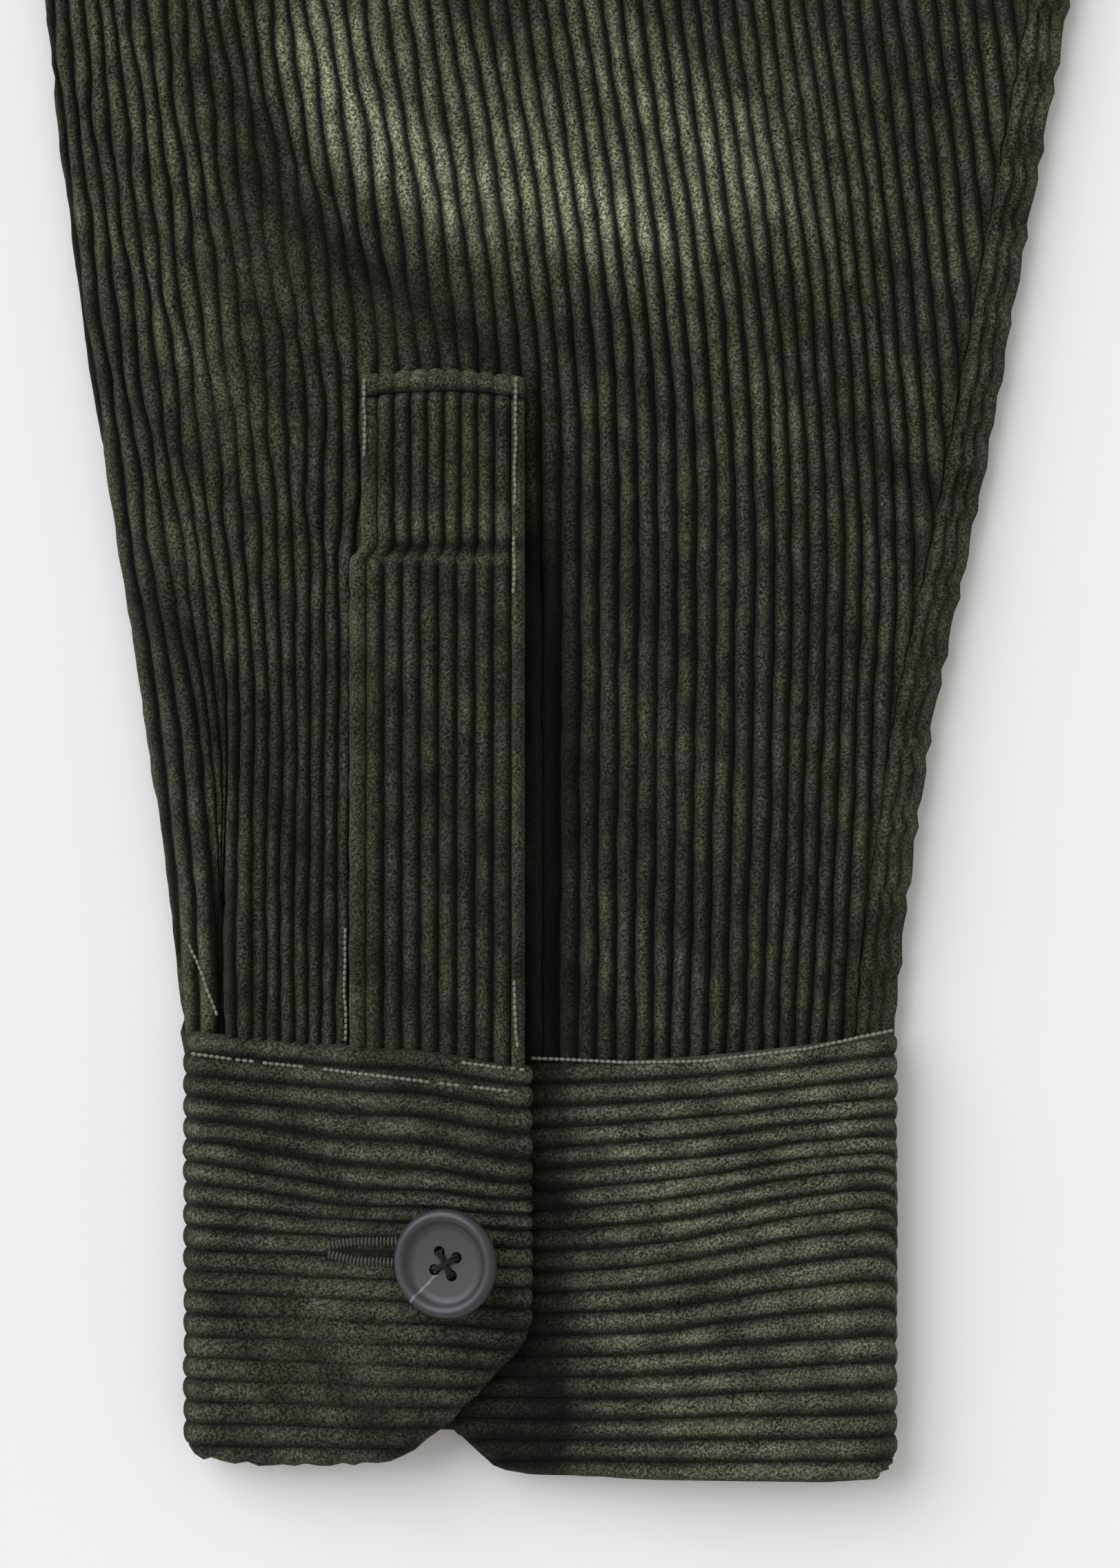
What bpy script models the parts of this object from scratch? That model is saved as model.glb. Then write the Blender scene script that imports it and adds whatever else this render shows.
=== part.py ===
"""A corduroy overshirt laid flat, front up, with the sleeves spread and slightly bent.

Run with: blender --background --python part.py
Lengths in the script are millimetres, and the meshes are metres. +X is the wearer's left,
+Y runs from the hem to the collar, +Z is up, and the cloth lies on z = 0.
The wearer's right side, at negative x, is worked out, and the left side mirrors it.
"""
import math

import bmesh
import bpy
import numpy as np
from mathutils import Matrix

MM = 0.001

# Cloth
CLOTH = 2.4
DOUBLE = 3.4
TOWER_WALL = 2.6
COLLAR_WALL = 2.8
SEAM = 0.3

# Body, from the hem at y = 0
OVERALL_LENGTH = 781.08
SIDE_HALF = 288.0
SHOULDER_HALF = 258.0
NECK_HALF = 88.0
NECK_Y = 740.0
SHOULDER_Y = 692.0
UNDERARM_Y = 452.0
FRONT_NECK_DEPTH = 76.0
BACK_NECK_DEPTH = 20.0
HEM_RISE = 24.0
FRONT_LAP = 17.0
FRONT_TOP = 6.3
FRONT_EDGE_Z = 1.0
EDGE_ROUND = 9.0
SHOULDER_FADE = 26.0
LAP_FADE = 26.0
BACK_INSET = 5.0
SIDE_FLAT = 21.0
SIDE_STEPS = np.array([14.0, 8.3, 4.0, 1.6, 0.5, 0.0])

# Sleeve, in its own frame: s runs up from the end of the cuff, c across, towards the body
FOREARM_TURN = math.radians(34.0)
UPPER_ARM_TURN = math.radians(52.0)
ELBOW_START = 255.0
ELBOW_LENGTH = 95.0
UNDERARM_S = 436.0
UNDERARM_C = 112.0
SLEEVE_EDGE_Z = 3.0
SLEEVE_ROUND = 10.0
SLEEVE_UNDER_ROUND = 4.0
SLEEVE_EDGE_STEPS = np.array([0.0, 0.8, 3.0, 7.0])
SLEEVE_UNDER_STEPS = np.array([1.2, 4.0, 12.0])
SLEEVE_FLAT = 14.0
SCYE_BOW_START = 338.0

# Cuff
CUFF_HALF = 59.0
CUFF_SEAM_LOW = 68.6
CUFF_SEAM_RISE = 4.2
CUFF_SEAM_SLANT = 1.2
CUFF_UNDER_LOW = 7.0
CUFF_SEAM_REACH = 40.0
CUFF_GAP = 0.5
LAP_Z = 7.6
LAY_Z = 6.4
END_RISE = 2.5
LEFT_FOLD_LOW = 8.4
RIGHT_FOLD_LOW = 6.0
LAP_END_C = -2.0
UNDERLAP_END_C = -24.0
BUTTON_S = 37.0
BUTTON_C = -14.8
CUFF_BUTTON_TILT = math.radians(20.0)

# Placket tower on the sleeve
TOWER_LEFT_C = -31.0
TOWER_HEAD_LEFT_C = -28.8
TOWER_RIGHT_C = -2.7
TOWER_HEAD_S = 153.5
TOWER_END_S = 183.0
TOWER_STEP_BELOW = 8.0
TOWER_STEP_ABOVE = 4.0

# Buttons
BUTTON_RADIUS = 9.0
BUTTON_HEIGHT = 3.0
BUTTON_HOLE_RADIUS = 0.95
BUTTON_HOLE_OFFSET = 2.2
FRONT_BUTTON_TOP_Y = 644.0
FRONT_BUTTON_PITCH = 92.0
FRONT_BUTTONS = 7

# Sleeve sections. Columns: in_s and in_c at the inner edge, out_s and out_c at the outer edge, top height
SLEEVE_SECTIONS = (
    (71.8, 58.8, 71.8, -58.8, 8.6),
    (84.0, 59.6, 84.0, -59.4, 8.4),
    (106.0, 62.2, 106.0, -62.2, 8.0),
    (128.0, 65.5, 128.0, -65.6, 7.7),
    (151.0, 70.4, 151.0, -69.3, 7.5),
    (173.0, 74.8, 173.0, -72.8, 7.4),
    (196.0, 78.8, 196.0, -76.2, 7.4),
    (219.0, 83.0, 219.0, -79.0, 7.4),
    (241.0, 87.0, 241.0, -81.4, 7.4),
    (275.0, 93.0, 277.0, -85.0, 7.3),
    (308.0, 98.6, 322.0, -89.0, 7.2),
    (338.0, 103.0, 375.0, -93.5, 7.0),
    (364.0, 106.4, 430.0, -97.0, 6.8),
    (386.0, 109.0, 485.0, -97.5, 6.6),
    (404.0, 110.6, 540.0, -90.0, 6.4),
    (420.0, 111.6, 584.0, -74.0, 6.3),
)

# The dip beside the sleeve opening
SLIT_C = 4.0
SLIT_WIDTH = 8.0
SLIT_DEPTH = 2.6

# Soft folds of the body. Columns: x0, y0, x1, y1, half width, rise
BODY_FOLDS = (
    (-292, 470, -205, 560, 17, 3.4),
    (-286, 440, -190, 470, 15, 2.6),
    (-268, 420, -200, 330, 16, 2.4),
    (-150, 690, -120, 560, 22, 1.8),
    (-60, 560, -95, 410, 24, 1.6),
    (-210, 300, -180, 130, 30, 2.0),
    (-80, 300, -110, 60, 26, 1.8),
    (-235, 190, -240, 30, 22, 2.2),
    (-36, 470, -140, 440, 16, 1.2),
    (-250, 640, -180, 600, 18, 1.6),
)

# Soft folds of the sleeve. Columns: s0, c0, s1, c1, half width, rise
SLEEVE_FOLDS = (
    (84, SLIT_C, 160, SLIT_C, SLIT_WIDTH, -SLIT_DEPTH),
    (112, 36, 190, 32, 24, 3.6),
    (96, -46, 190, -54, 14, 1.8),
    (198, 34, 204, -16, 15, 3.6),
    (240, 62, 212, 40, 14, 2.0),
    (238, -58, 196, -44, 11, 1.8),
    (300, 74, 284, 12, 15, 3.8),
    (330, 84, 322, 20, 14, 3.2),
    (268, -66, 330, -62, 18, 2.2),
    (400, 92, 470, 10, 18, 3.4),
    (420, -70, 520, -62, 20, 1.8),
)

# How far the collar turns over at its roll line, and falls beyond it
ROLL_OUT = 3.4
ROLL_DROP = 3.0
FALL_OUT = 8.0
FALL_DROP = 7.0
FALL_CROWN = 1.4

# Collar, from the centre back to the centre front.
# Columns: x, y and z of the neck seam, of the roll line and of the free edge
COLLAR_SECTIONS = (
    (0.0, 723.0, 3.6, 0.0, 746.0, 27.0, 0.0, 780.2, 2.0),
    (-38.0, 727.0, 3.6, -38.0, 748.0, 27.0, -42.0, 779.0, 2.0),
    (-70.0, 736.0, 4.2, -70.0, 750.0, 26.5, -90.0, 774.0, 2.2),
    (-87.0, 744.5, 6.0, -83.0, 745.0, 25.5, -121.0, 755.0, 4.6),
    (-90.0, 731.0, 9.4, -80.0, 733.0, 24.5, -131.0, 724.0, 9.0),
    (-83.0, 711.0, 9.8, -71.0, 719.0, 23.0, -128.0, 684.0, 10.2),
    (-66.0, 693.0, 10.0, -54.0, 703.0, 21.5, -118.0, 644.0, 10.6),
    (-44.0, 678.0, 10.6, -34.0, 690.0, 20.5, -105.0, 603.0, 11.4),
    (-22.0, 670.0, 11.6, -17.0, 682.0, 20.0, -72.0, 618.0, 12.6),
    (-3.0, 668.0, 12.2, -3.0, 679.0, 20.0, -26.0, 646.0, 14.6),
)

OLIVE = (0.035, 0.037, 0.024)
HORN = (0.062, 0.062, 0.066)


def clear_scene():
    """Removes what the startup scene holds."""
    for obj in list(bpy.data.objects):
        bpy.data.objects.remove(obj)


def finish_material(name, colour, roughness):
    """A Principled material with the piece's colour and roughness."""
    material = bpy.data.materials.new(name)
    material.use_nodes = True
    shader = material.node_tree.nodes["Principled BSDF"]
    shader.inputs["Base Color"].default_value = (*colour, 1.0)
    shader.inputs["Roughness"].default_value = roughness
    shader.inputs["Metallic"].default_value = 0.0
    return material


def rounding(distance, reach):
    """A quarter ellipse: 0 at an edge, 1 once the distance reaches the rounding's width."""
    share = np.clip(np.asarray(distance, float) / reach, 0.0, 1.0)
    return np.sqrt(1.0 - (1.0 - share) ** 2)


def ease(value, low, high):
    """A smooth step from 0 at low to 1 at high."""
    share = np.clip((np.asarray(value, float) - low) / (high - low), 0.0, 1.0)
    return share * share * (3.0 - 2.0 * share)


def through(rows, count):
    """A smooth curve through the rows of a table, at count even steps."""
    rows = np.asarray(rows, float)
    places = np.linspace(0.0, len(rows) - 1.0, count)
    first = np.minimum(places.astype(int), len(rows) - 2)
    share = (places - first)[:, None]
    before = rows[np.maximum(first - 1, 0)]
    start = rows[first]
    end = rows[first + 1]
    after = rows[np.minimum(first + 2, len(rows) - 1)]
    rise = (end - before) / 2.0
    leave = (after - start) / 2.0
    square = share * share
    cube = square * share
    return (
        (2 * cube - 3 * square + 1) * start
        + (cube - 2 * square + share) * rise
        + (3 * square - 2 * cube) * end
        + (cube - square) * leave
    )


def turned_place(s, c):
    """Plan position of a point of the sleeve before it is moved to the armhole."""
    bent = np.clip(s - ELBOW_START, 0.0, ELBOW_LENGTH)
    turn_rate = (UPPER_ARM_TURN - FOREARM_TURN) / ELBOW_LENGTH
    turn = FOREARM_TURN + bent * turn_rate
    before = np.minimum(s, ELBOW_START)
    beyond = np.maximum(s - ELBOW_START - ELBOW_LENGTH, 0.0)
    x = before * math.sin(FOREARM_TURN) + (math.cos(FOREARM_TURN) - np.cos(turn)) / turn_rate
    y = before * math.cos(FOREARM_TURN) + (np.sin(turn) - math.sin(FOREARM_TURN)) / turn_rate
    x = x + beyond * math.sin(UPPER_ARM_TURN) + c * np.cos(turn)
    y = y + beyond * math.cos(UPPER_ARM_TURN) - c * np.sin(turn)
    return np.stack([x, y], axis=-1)


SLEEVE_ORIGIN = np.array([-SIDE_HALF, UNDERARM_Y]) - turned_place(
    np.float64(UNDERARM_S), np.float64(UNDERARM_C)
)


def sleeve_place(s, c):
    """Plan position, in the garment, of a point of the right sleeve."""
    s, c = np.broadcast_arrays(np.asarray(s, float), np.asarray(c, float))
    return turned_place(s, c) + SLEEVE_ORIGIN


def fold_segments():
    """Every fold in plan, in garment coordinates: two ends, half width and rise."""
    rows = [(np.array(row[0:2], float), np.array(row[2:4], float), row[4], row[5]) for row in BODY_FOLDS]
    for s0, c0, s1, c1, width, rise in SLEEVE_FOLDS:
        rows.append((sleeve_place(s0, c0), sleeve_place(s1, c1), width, rise))
    return rows


FOLDS = fold_segments()


def relief(x, y):
    """How far the upper layer stands above its flat height. Both sides of the garment fold alike."""
    place = np.stack([-np.abs(x), np.asarray(y, float)], axis=-1)
    height = np.zeros(place.shape[:-1])
    for start, end, width, rise in FOLDS:
        along = end - start
        share = np.clip(((place - start) @ along) / (along @ along), 0.0, 1.0)
        near = start + share[..., None] * along
        away = np.sum((place - near) ** 2, axis=-1)
        height += rise * np.exp(-away / width**2)
    return height


def armhole(share):
    """Plan points of the right armhole, from the underarm at 0 to the shoulder at 1."""
    share = np.asarray(share, float)
    width = SIDE_HALF - SHOULDER_HALF
    x = -SIDE_HALF + width * (1.0 - (1.0 - share) ** 2)
    y = UNDERARM_Y + (SHOULDER_Y - UNDERARM_Y) * share
    return np.stack([x, y], axis=-1)


def hem_y(x):
    """The hem rises a little towards the side seams."""
    return HEM_RISE * (np.abs(x) / SIDE_HALF) ** 4


def panel_half_width(y):
    """Half width of a body panel: constant up to the underarm, then along the armhole."""
    share = np.clip((y - UNDERARM_Y) / (SHOULDER_Y - UNDERARM_Y), 0.0, 1.0)
    return -armhole(share)[..., 0]


def panel_plan(base, share, neck_depth, inset):
    """Plan points of a body panel. Its columns start at the base, and bend in with the armhole."""
    near = np.minimum(np.abs(base), NECK_HALF)
    far = np.maximum(np.abs(base) - NECK_HALF, 0.0) / (SIDE_HALF - NECK_HALF)
    neck = NECK_Y - neck_depth * np.sqrt(1.0 - (near / NECK_HALF) ** 2)
    high = neck - far * (NECK_Y - SHOULDER_Y) - inset * ease(near, 0.6 * NECK_HALF, 0.9 * NECK_HALF)
    low = hem_y(base)
    y = low[:, None] + (high - low)[:, None] * share[None, :]
    x = near[:, None] + far[:, None] * (panel_half_width(y) - inset - NECK_HALF)
    return np.sign(base)[:, None] * x, y


def shoulder_distance(x, y):
    """How far a point of a panel lies below the shoulder seam, square to it."""
    slope = (NECK_Y - SHOULDER_Y) / (SHOULDER_HALF - NECK_HALF)
    return (NECK_Y - (np.abs(x) - NECK_HALF) * slope - y) / math.hypot(1.0, slope)


def front_top_z(x, y):
    """Outer surface of a front: it rounds down to the floor at the side and at the shoulder."""
    side = np.hypot(SIDE_HALF - np.abs(x), np.maximum(0.0, y - UNDERARM_Y))
    from_end = np.minimum(np.abs(x) - NECK_HALF, SHOULDER_HALF - np.abs(x))
    between = ease(from_end, 0.0, SHOULDER_FADE)
    shoulder = 1.0 - (1.0 - rounding(shoulder_distance(x, y), EDGE_ROUND)) * between
    round_off = rounding(side, EDGE_ROUND) * shoulder
    return FRONT_EDGE_Z + (FRONT_TOP + relief(x, y) - FRONT_EDGE_Z) * round_off


def sleeve_edges(s):
    """Across positions of the sleeve's inner and outer edges, and its upper height, at s."""
    rows = np.vstack([SLEEVE_SECTIONS, ARMHOLE_ROW])
    inner = np.interp(s, rows[:, 0], rows[:, 1])
    outer = np.interp(s, rows[:, 2], rows[:, 3])
    top = np.interp(s, rows[:, 2], rows[:, 4])
    return inner, outer, top


def sleeve_top_z(s, c):
    """Outer surface of the sleeve's upper layer."""
    inner, outer, top = sleeve_edges(s)
    place = sleeve_place(s, c)
    to_inner = np.hypot(inner - c, np.maximum(0.0, s - UNDERARM_S))
    round_off = rounding(to_inner, SLEEVE_ROUND) * rounding(c - outer, SLEEVE_ROUND)
    height = top + relief(place[..., 0], place[..., 1])
    return SLEEVE_EDGE_Z + (height - SLEEVE_EDGE_Z) * round_off


def cuff_seam_s(c):
    """The seam between cuff and sleeve sags in the middle."""
    share = np.clip(np.asarray(c, float) / CUFF_HALF, -1.0, 1.0)
    return CUFF_SEAM_LOW + CUFF_SEAM_RISE * share**2 + CUFF_SEAM_SLANT * share


def garment_points(points, side):
    """Millimetres in garment coordinates, for the right side, to metres in the part's frame."""
    points = np.array(points, float)
    points[..., 0] *= side
    points[..., 1] -= OVERALL_LENGTH / 2.0
    return points * MM


def sheet(name, points, wall, side=1, closed=False):
    """A piece of cloth: a lofted surface, its outer side up, with its wall behind it."""
    rows, columns = points.shape[:2]
    mesh_points = garment_points(points, side)
    shape = bmesh.new()
    corners = [[shape.verts.new(place) for place in row] for row in mesh_points]
    for i in range(rows - 1):
        for j in range(columns if closed else columns - 1):
            after = (j + 1) % columns
            face = [corners[i][j], corners[i][after], corners[i + 1][after], corners[i + 1][j]]
            shape.faces.new(face if side > 0 else face[::-1])
    return shell(name, shape, wall)


def shell(name, shape, wall):
    """Links a bmesh as an object whose wall lies behind its faces."""
    mesh = bpy.data.meshes.new(name)
    shape.to_mesh(mesh)
    shape.free()
    obj = bpy.data.objects.new(name, mesh)
    SHIRT.objects.link(obj)
    thicken = obj.modifiers.new("wall", "SOLIDIFY")
    thicken.thickness = wall * MM
    thicken.offset = -1.0
    thicken.use_even_offset = True
    mesh.shade_smooth()
    mesh.set_sharp_from_angle(angle=math.radians(50.0))
    obj.data.materials.append(CORDUROY)
    return obj


def panel_rows(count):
    """Shares of a panel's height, closer together at the top, where the shoulder rounds off."""
    near_top = np.array([0.0, 0.9, 3.0, 8.0]) / (NECK_Y - HEM_RISE)
    rest = np.linspace(0.03, 1.0, count - len(near_top))
    return 1.0 - np.concatenate([near_top, rest])[::-1]


def side_columns():
    """Base positions of the columns beyond the neck, closer together where the side rounds off."""
    return np.concatenate([np.linspace(NECK_HALF, SIDE_HALF - SIDE_FLAT, 8), SIDE_HALF - SIDE_STEPS])


def make_front(name, side, lap_lift):
    """One front. The one that laps over the other is lifted by a layer of cloth."""
    neck = NECK_HALF * np.sin(np.radians([25.0, 40.0, 53.0, 65.0, 76.0]))
    base = -np.concatenate([[-FRONT_LAP, -4.0, 15.0], neck, side_columns()])
    across, y = panel_plan(base, panel_rows(26), FRONT_NECK_DEPTH, 0.0)
    lift = lap_lift * (1.0 - ease(-across, FRONT_LAP, FRONT_LAP + LAP_FADE))
    z = front_top_z(across, y) + lift
    return sheet(name, np.stack([across, y, z], axis=-1), CLOTH, side)


def make_back():
    """The back lies flat under the fronts, a little inside them."""
    neck = NECK_HALF * np.sin(np.radians([0.0, 25.0, 45.0, 65.0]))
    half = np.concatenate([neck, side_columns()[::2], [SIDE_HALF]])
    base = np.concatenate([half[::-1], -half[1:]])
    across, y = panel_plan(base, np.linspace(0.0, 1.0, 14), BACK_NECK_DEPTH, BACK_INSET)
    z = np.full_like(y, CLOTH)
    return sheet("back", np.stack([across, y, z], axis=-1), CLOTH)


def sleeve_ring(row, place):
    """One section of the sleeve: over the top from the inner edge, then back underneath."""
    in_s, in_c, out_s, out_c, _ = row
    width = in_c - out_c
    edge = SLEEVE_EDGE_STEPS / width
    middle = np.linspace(SLEEVE_FLAT / width, 1.0 - SLEEVE_FLAT / width, 11)
    over = np.concatenate([edge, middle, 1.0 - edge[::-1]])
    under_edge = SLEEVE_UNDER_STEPS / width
    under = np.concatenate([1.0 - under_edge, [0.82, 0.66, 0.5, 0.34, 0.18], under_edge[::-1]])
    share = np.concatenate([over, under])
    s = in_s + (out_s - in_s) * share
    c = in_c + (out_c - in_c) * share
    hang = max(0.0, 1.0 - (in_s - SLEEVE_SECTIONS[0][0]) / CUFF_SEAM_REACH)
    upper = np.arange(len(share)) < len(over)
    s = s + (cuff_seam_s(c) - SLEEVE_SECTIONS[0][0]) * hang + CUFF_GAP * (place == 0)
    plan = sleeve_place(s, c) + scye_bow(share, row) - np.array([SEAM, 0.0]) * (row is ARMHOLE_ROW)
    from_edge = np.minimum(share, 1.0 - share) * width
    below = SLEEVE_EDGE_Z * (1.0 - rounding(from_edge, SLEEVE_UNDER_ROUND))
    z = np.where(upper, sleeve_top_z(s, c), below)
    return np.concatenate([plan, z[:, None]], axis=-1)


def scye_bow(share, row):
    """How far a section bows from a straight line to follow the armhole, growing up the sleeve."""
    strength = ease(row[0], SCYE_BOW_START, UNDERARM_S)
    straight = armhole(0.0) + (armhole(1.0) - armhole(0.0)) * share[:, None]
    return (armhole(share) - straight) * strength


def shoulder_row():
    """The last section of the sleeve, which lies along the armhole."""
    reach = armhole(1.0) - sleeve_place(UNDERARM_S, UNDERARM_C)
    along = np.array([math.sin(UPPER_ARM_TURN), math.cos(UPPER_ARM_TURN)])
    across = np.array([math.cos(UPPER_ARM_TURN), -math.sin(UPPER_ARM_TURN)])
    outer_s = UNDERARM_S + reach @ along
    outer_c = UNDERARM_C + reach @ across
    return np.array([UNDERARM_S, UNDERARM_C, outer_s, outer_c, FRONT_TOP])


ARMHOLE_ROW = shoulder_row()


def make_sleeve(name, side):
    """The sleeve is one tube of cloth, pressed flat, from the cuff to the armhole."""
    lower = through(SLEEVE_SECTIONS[:9], 17)
    upper = through(np.vstack([SLEEVE_SECTIONS[8:], ARMHOLE_ROW]), 15)[1:-1]
    rows = [*lower, *upper, ARMHOLE_ROW]
    rings = [sleeve_ring(row, place) for place, row in enumerate(rows)]
    return sheet(name, np.array(rings)[::-1], CLOTH, side, closed=True)


def lap_low(c):
    """Lower outline of the cuff's outer end, with its slanted corner."""
    return np.interp(c, [-59, -57.5, -54, -46, -34, -23, -2], [10.0, 6.0, 3.4, 2.4, 2.6, 3.8, 21.8])


def underlap_low(c):
    """Lower outline of the cuff's inner end, with its slanted corner."""
    return np.interp(c, [-24, -15, -5.5, 10, 47, 54, 58, 59], [15.8, 9.0, 1.6, 0.8, 0.0, 0.6, 3.0, 7.0])


def cuff_line():
    """The cuff round the wrist, from its outer end: across, height of its middle, lower and upper edge."""
    middle = DOUBLE / 2.0
    lap_c = np.array([LAP_END_C, -6.0, -10.0, -14.0, -19.0, -25.0, -33.0, -41.0, -48.0, -53.0])
    lap_z = LAP_Z + END_RISE * ease(lap_c, -40.0, -24.0)
    turns = np.radians([60.0, 25.0, -10.0, -45.0, -80.0])
    left_r = (lap_z[-1] - middle) / 2.0
    left_c = -(CUFF_HALF - middle - left_r) - left_r * np.cos(turns)
    left_z = middle + left_r + left_r * np.sin(turns)
    under_c = np.linspace(-50.0, 50.0, 7)
    lay_c = np.array([52.0, 46.0, 38.0, 29.0, 20.0, 11.0, 2.0, -5.5, -10.0, -14.5, -19.0, UNDERLAP_END_C])
    lay_z = LAY_Z + END_RISE * ease(lay_c, 2.0, 24.0)
    right_r = (lay_z[0] - middle) / 2.0
    right_c = (CUFF_HALF - middle - right_r) + right_r * np.cos(turns[::-1])
    right_z = middle + right_r + right_r * np.sin(turns[::-1])
    c = np.concatenate([lap_c, left_c, under_c, right_c, lay_c])
    z = np.concatenate([lap_z, left_z, np.full_like(under_c, middle), right_z, lay_z])
    low = np.concatenate([
        lap_low(lap_c), np.full_like(left_c, LEFT_FOLD_LOW), np.full_like(under_c, CUFF_UNDER_LOW),
        np.full_like(right_c, RIGHT_FOLD_LOW), underlap_low(lay_c),
    ])
    high = cuff_seam_s(c)
    return c, z, low, high


def make_cuff(name, side):
    """Two layers of cloth round the wrist, lapped on top, both ends slanted at the corner."""
    c, z, low, high = cuff_line()
    share = np.linspace(0.0, 1.0, 7)
    s = low[:, None] + (high - low)[:, None] * share[None, :]
    across = np.broadcast_to(c[:, None], s.shape)
    plan = sleeve_place(s, across)
    rise = np.broadcast_to(z[:, None], s.shape)
    points = np.concatenate([plan, rise[..., None]], axis=-1)
    cuff = sheet(name, points, DOUBLE, side)
    cuff.modifiers["wall"].offset = 0.0
    return cuff


def tower_seat_z(s, c):
    """The tower lies on the sleeve and doesn't follow the dip beside the opening."""
    return sleeve_top_z(s, c) + SLIT_DEPTH * np.exp(-(((c - SLIT_C) / SLIT_WIDTH) ** 2))


def make_tower(name, side):
    """The placket strip with its boxed head, lying on the sleeve."""
    s = np.concatenate([np.linspace(0.0, TOWER_HEAD_S, 9), np.linspace(TOWER_HEAD_S, TOWER_END_S, 5)[1:]])
    share = np.linspace(0.0, 1.0, 6)
    narrowing = ease(s, TOWER_HEAD_S - TOWER_STEP_BELOW, TOWER_HEAD_S + TOWER_STEP_ABOVE)
    left = TOWER_LEFT_C + (TOWER_HEAD_LEFT_C - TOWER_LEFT_C) * narrowing
    c = left[:, None] + (TOWER_RIGHT_C - left)[:, None] * share[None, :]
    foot = cuff_seam_s(c) + SEAM
    along = foot + (TOWER_END_S - foot) * (s / TOWER_END_S)[:, None]
    z = tower_seat_z(along, c) + SEAM + TOWER_WALL
    plan = sleeve_place(along, c)
    return sheet(name, np.concatenate([plan, z[..., None]], axis=-1)[::-1], TOWER_WALL, side)


def collar_path(row):
    """One section through the collar: up from the neck seam, over the roll, down to the free edge."""
    seam, roll, edge = row[0:3], row[3:6], row[6:9]
    out = (edge - roll) * np.array([1.0, 1.0, 0.0])
    out = out / np.linalg.norm(out)
    up = np.array([0.0, 0.0, 1.0])
    inner = roll - out * ROLL_DROP - up * ROLL_OUT
    outer = roll + out * ROLL_OUT - up * ROLL_DROP
    shoulder = roll + out * FALL_OUT - up * FALL_DROP
    belly = (shoulder + edge) / 2.0 + up * FALL_CROWN
    return np.array([seam, (seam + inner) / 2.0, inner, roll, outer, shoulder, belly, edge])


def make_collar():
    """A one-piece collar, two layers thick, rolled over on itself, open at the centre front."""
    half = through(COLLAR_SECTIONS, 19)
    mirrored = half[1:] * np.array([-1.0, 1.0, 1.0] * 3)
    sections = np.vstack([half[::-1], mirrored])
    paths = np.array([collar_path(row) for row in sections])
    collar = sheet("collar", paths, COLLAR_WALL)
    collar.modifiers["wall"].offset = 0.0
    return collar


def button_mesh():
    """A turned button with a raised rim, a dished face and four holes."""
    radius, height = BUTTON_RADIUS, BUTTON_HEIGHT
    outline = [
        (0.0, 0.62 * height), (0.66 * radius, 0.62 * height), (0.75 * radius, 0.95 * height),
        (0.9 * radius, height), (radius, 0.6 * height), (0.88 * radius, 0.08 * height), (0.7 * radius, 0.0),
        (0.0, 0.0),
    ]
    profile = bpy.data.meshes.new("button_profile")
    points = [(x * MM, 0.0, z * MM) for x, z in outline]
    profile.from_pydata(points, [(i, i + 1) for i in range(len(points) - 1)], [])
    turned = bpy.data.objects.new("button_turned", profile)
    SHIRT.objects.link(turned)
    screw = turned.modifiers.new("turn", "SCREW")
    screw.steps = screw.render_steps = 18
    screw.use_merge_vertices = True
    screw.merge_threshold = 0.00001
    for hole in range(4):
        turn = math.radians(45.0 + 90.0 * hole)
        reach = BUTTON_HOLE_OFFSET * MM
        bpy.ops.mesh.primitive_cylinder_add(
            vertices=8, radius=BUTTON_HOLE_RADIUS * MM, depth=4 * height * MM,
            location=(reach * math.cos(turn), reach * math.sin(turn), 0.0),
        )
        drill = bpy.context.object
        for owner in list(drill.users_collection):
            owner.objects.unlink(drill)
        CUTTERS.objects.link(drill)
        drill.hide_render = True
        drill.display_type = "WIRE"
        cut = turned.modifiers.new(f"hole_{hole}", "BOOLEAN")
        cut.operation = "DIFFERENCE"
        cut.object = drill
    bpy.context.view_layer.update()
    graph = bpy.context.evaluated_depsgraph_get()
    mesh = bpy.data.meshes.new_from_object(turned.evaluated_get(graph))
    bpy.data.objects.remove(turned)
    mesh.shade_smooth()
    mesh.set_sharp_from_angle(angle=math.radians(35.0))
    mesh.materials.clear()
    mesh.materials.append(BUTTON_HORN)
    return mesh


def add_button(name, mesh, place, turn):
    """One button, at its place in metres and with its turn."""
    obj = bpy.data.objects.new(name, mesh)
    SHIRT.objects.link(obj)
    obj.matrix_world = Matrix.Translation(place) @ turn
    return obj


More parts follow.
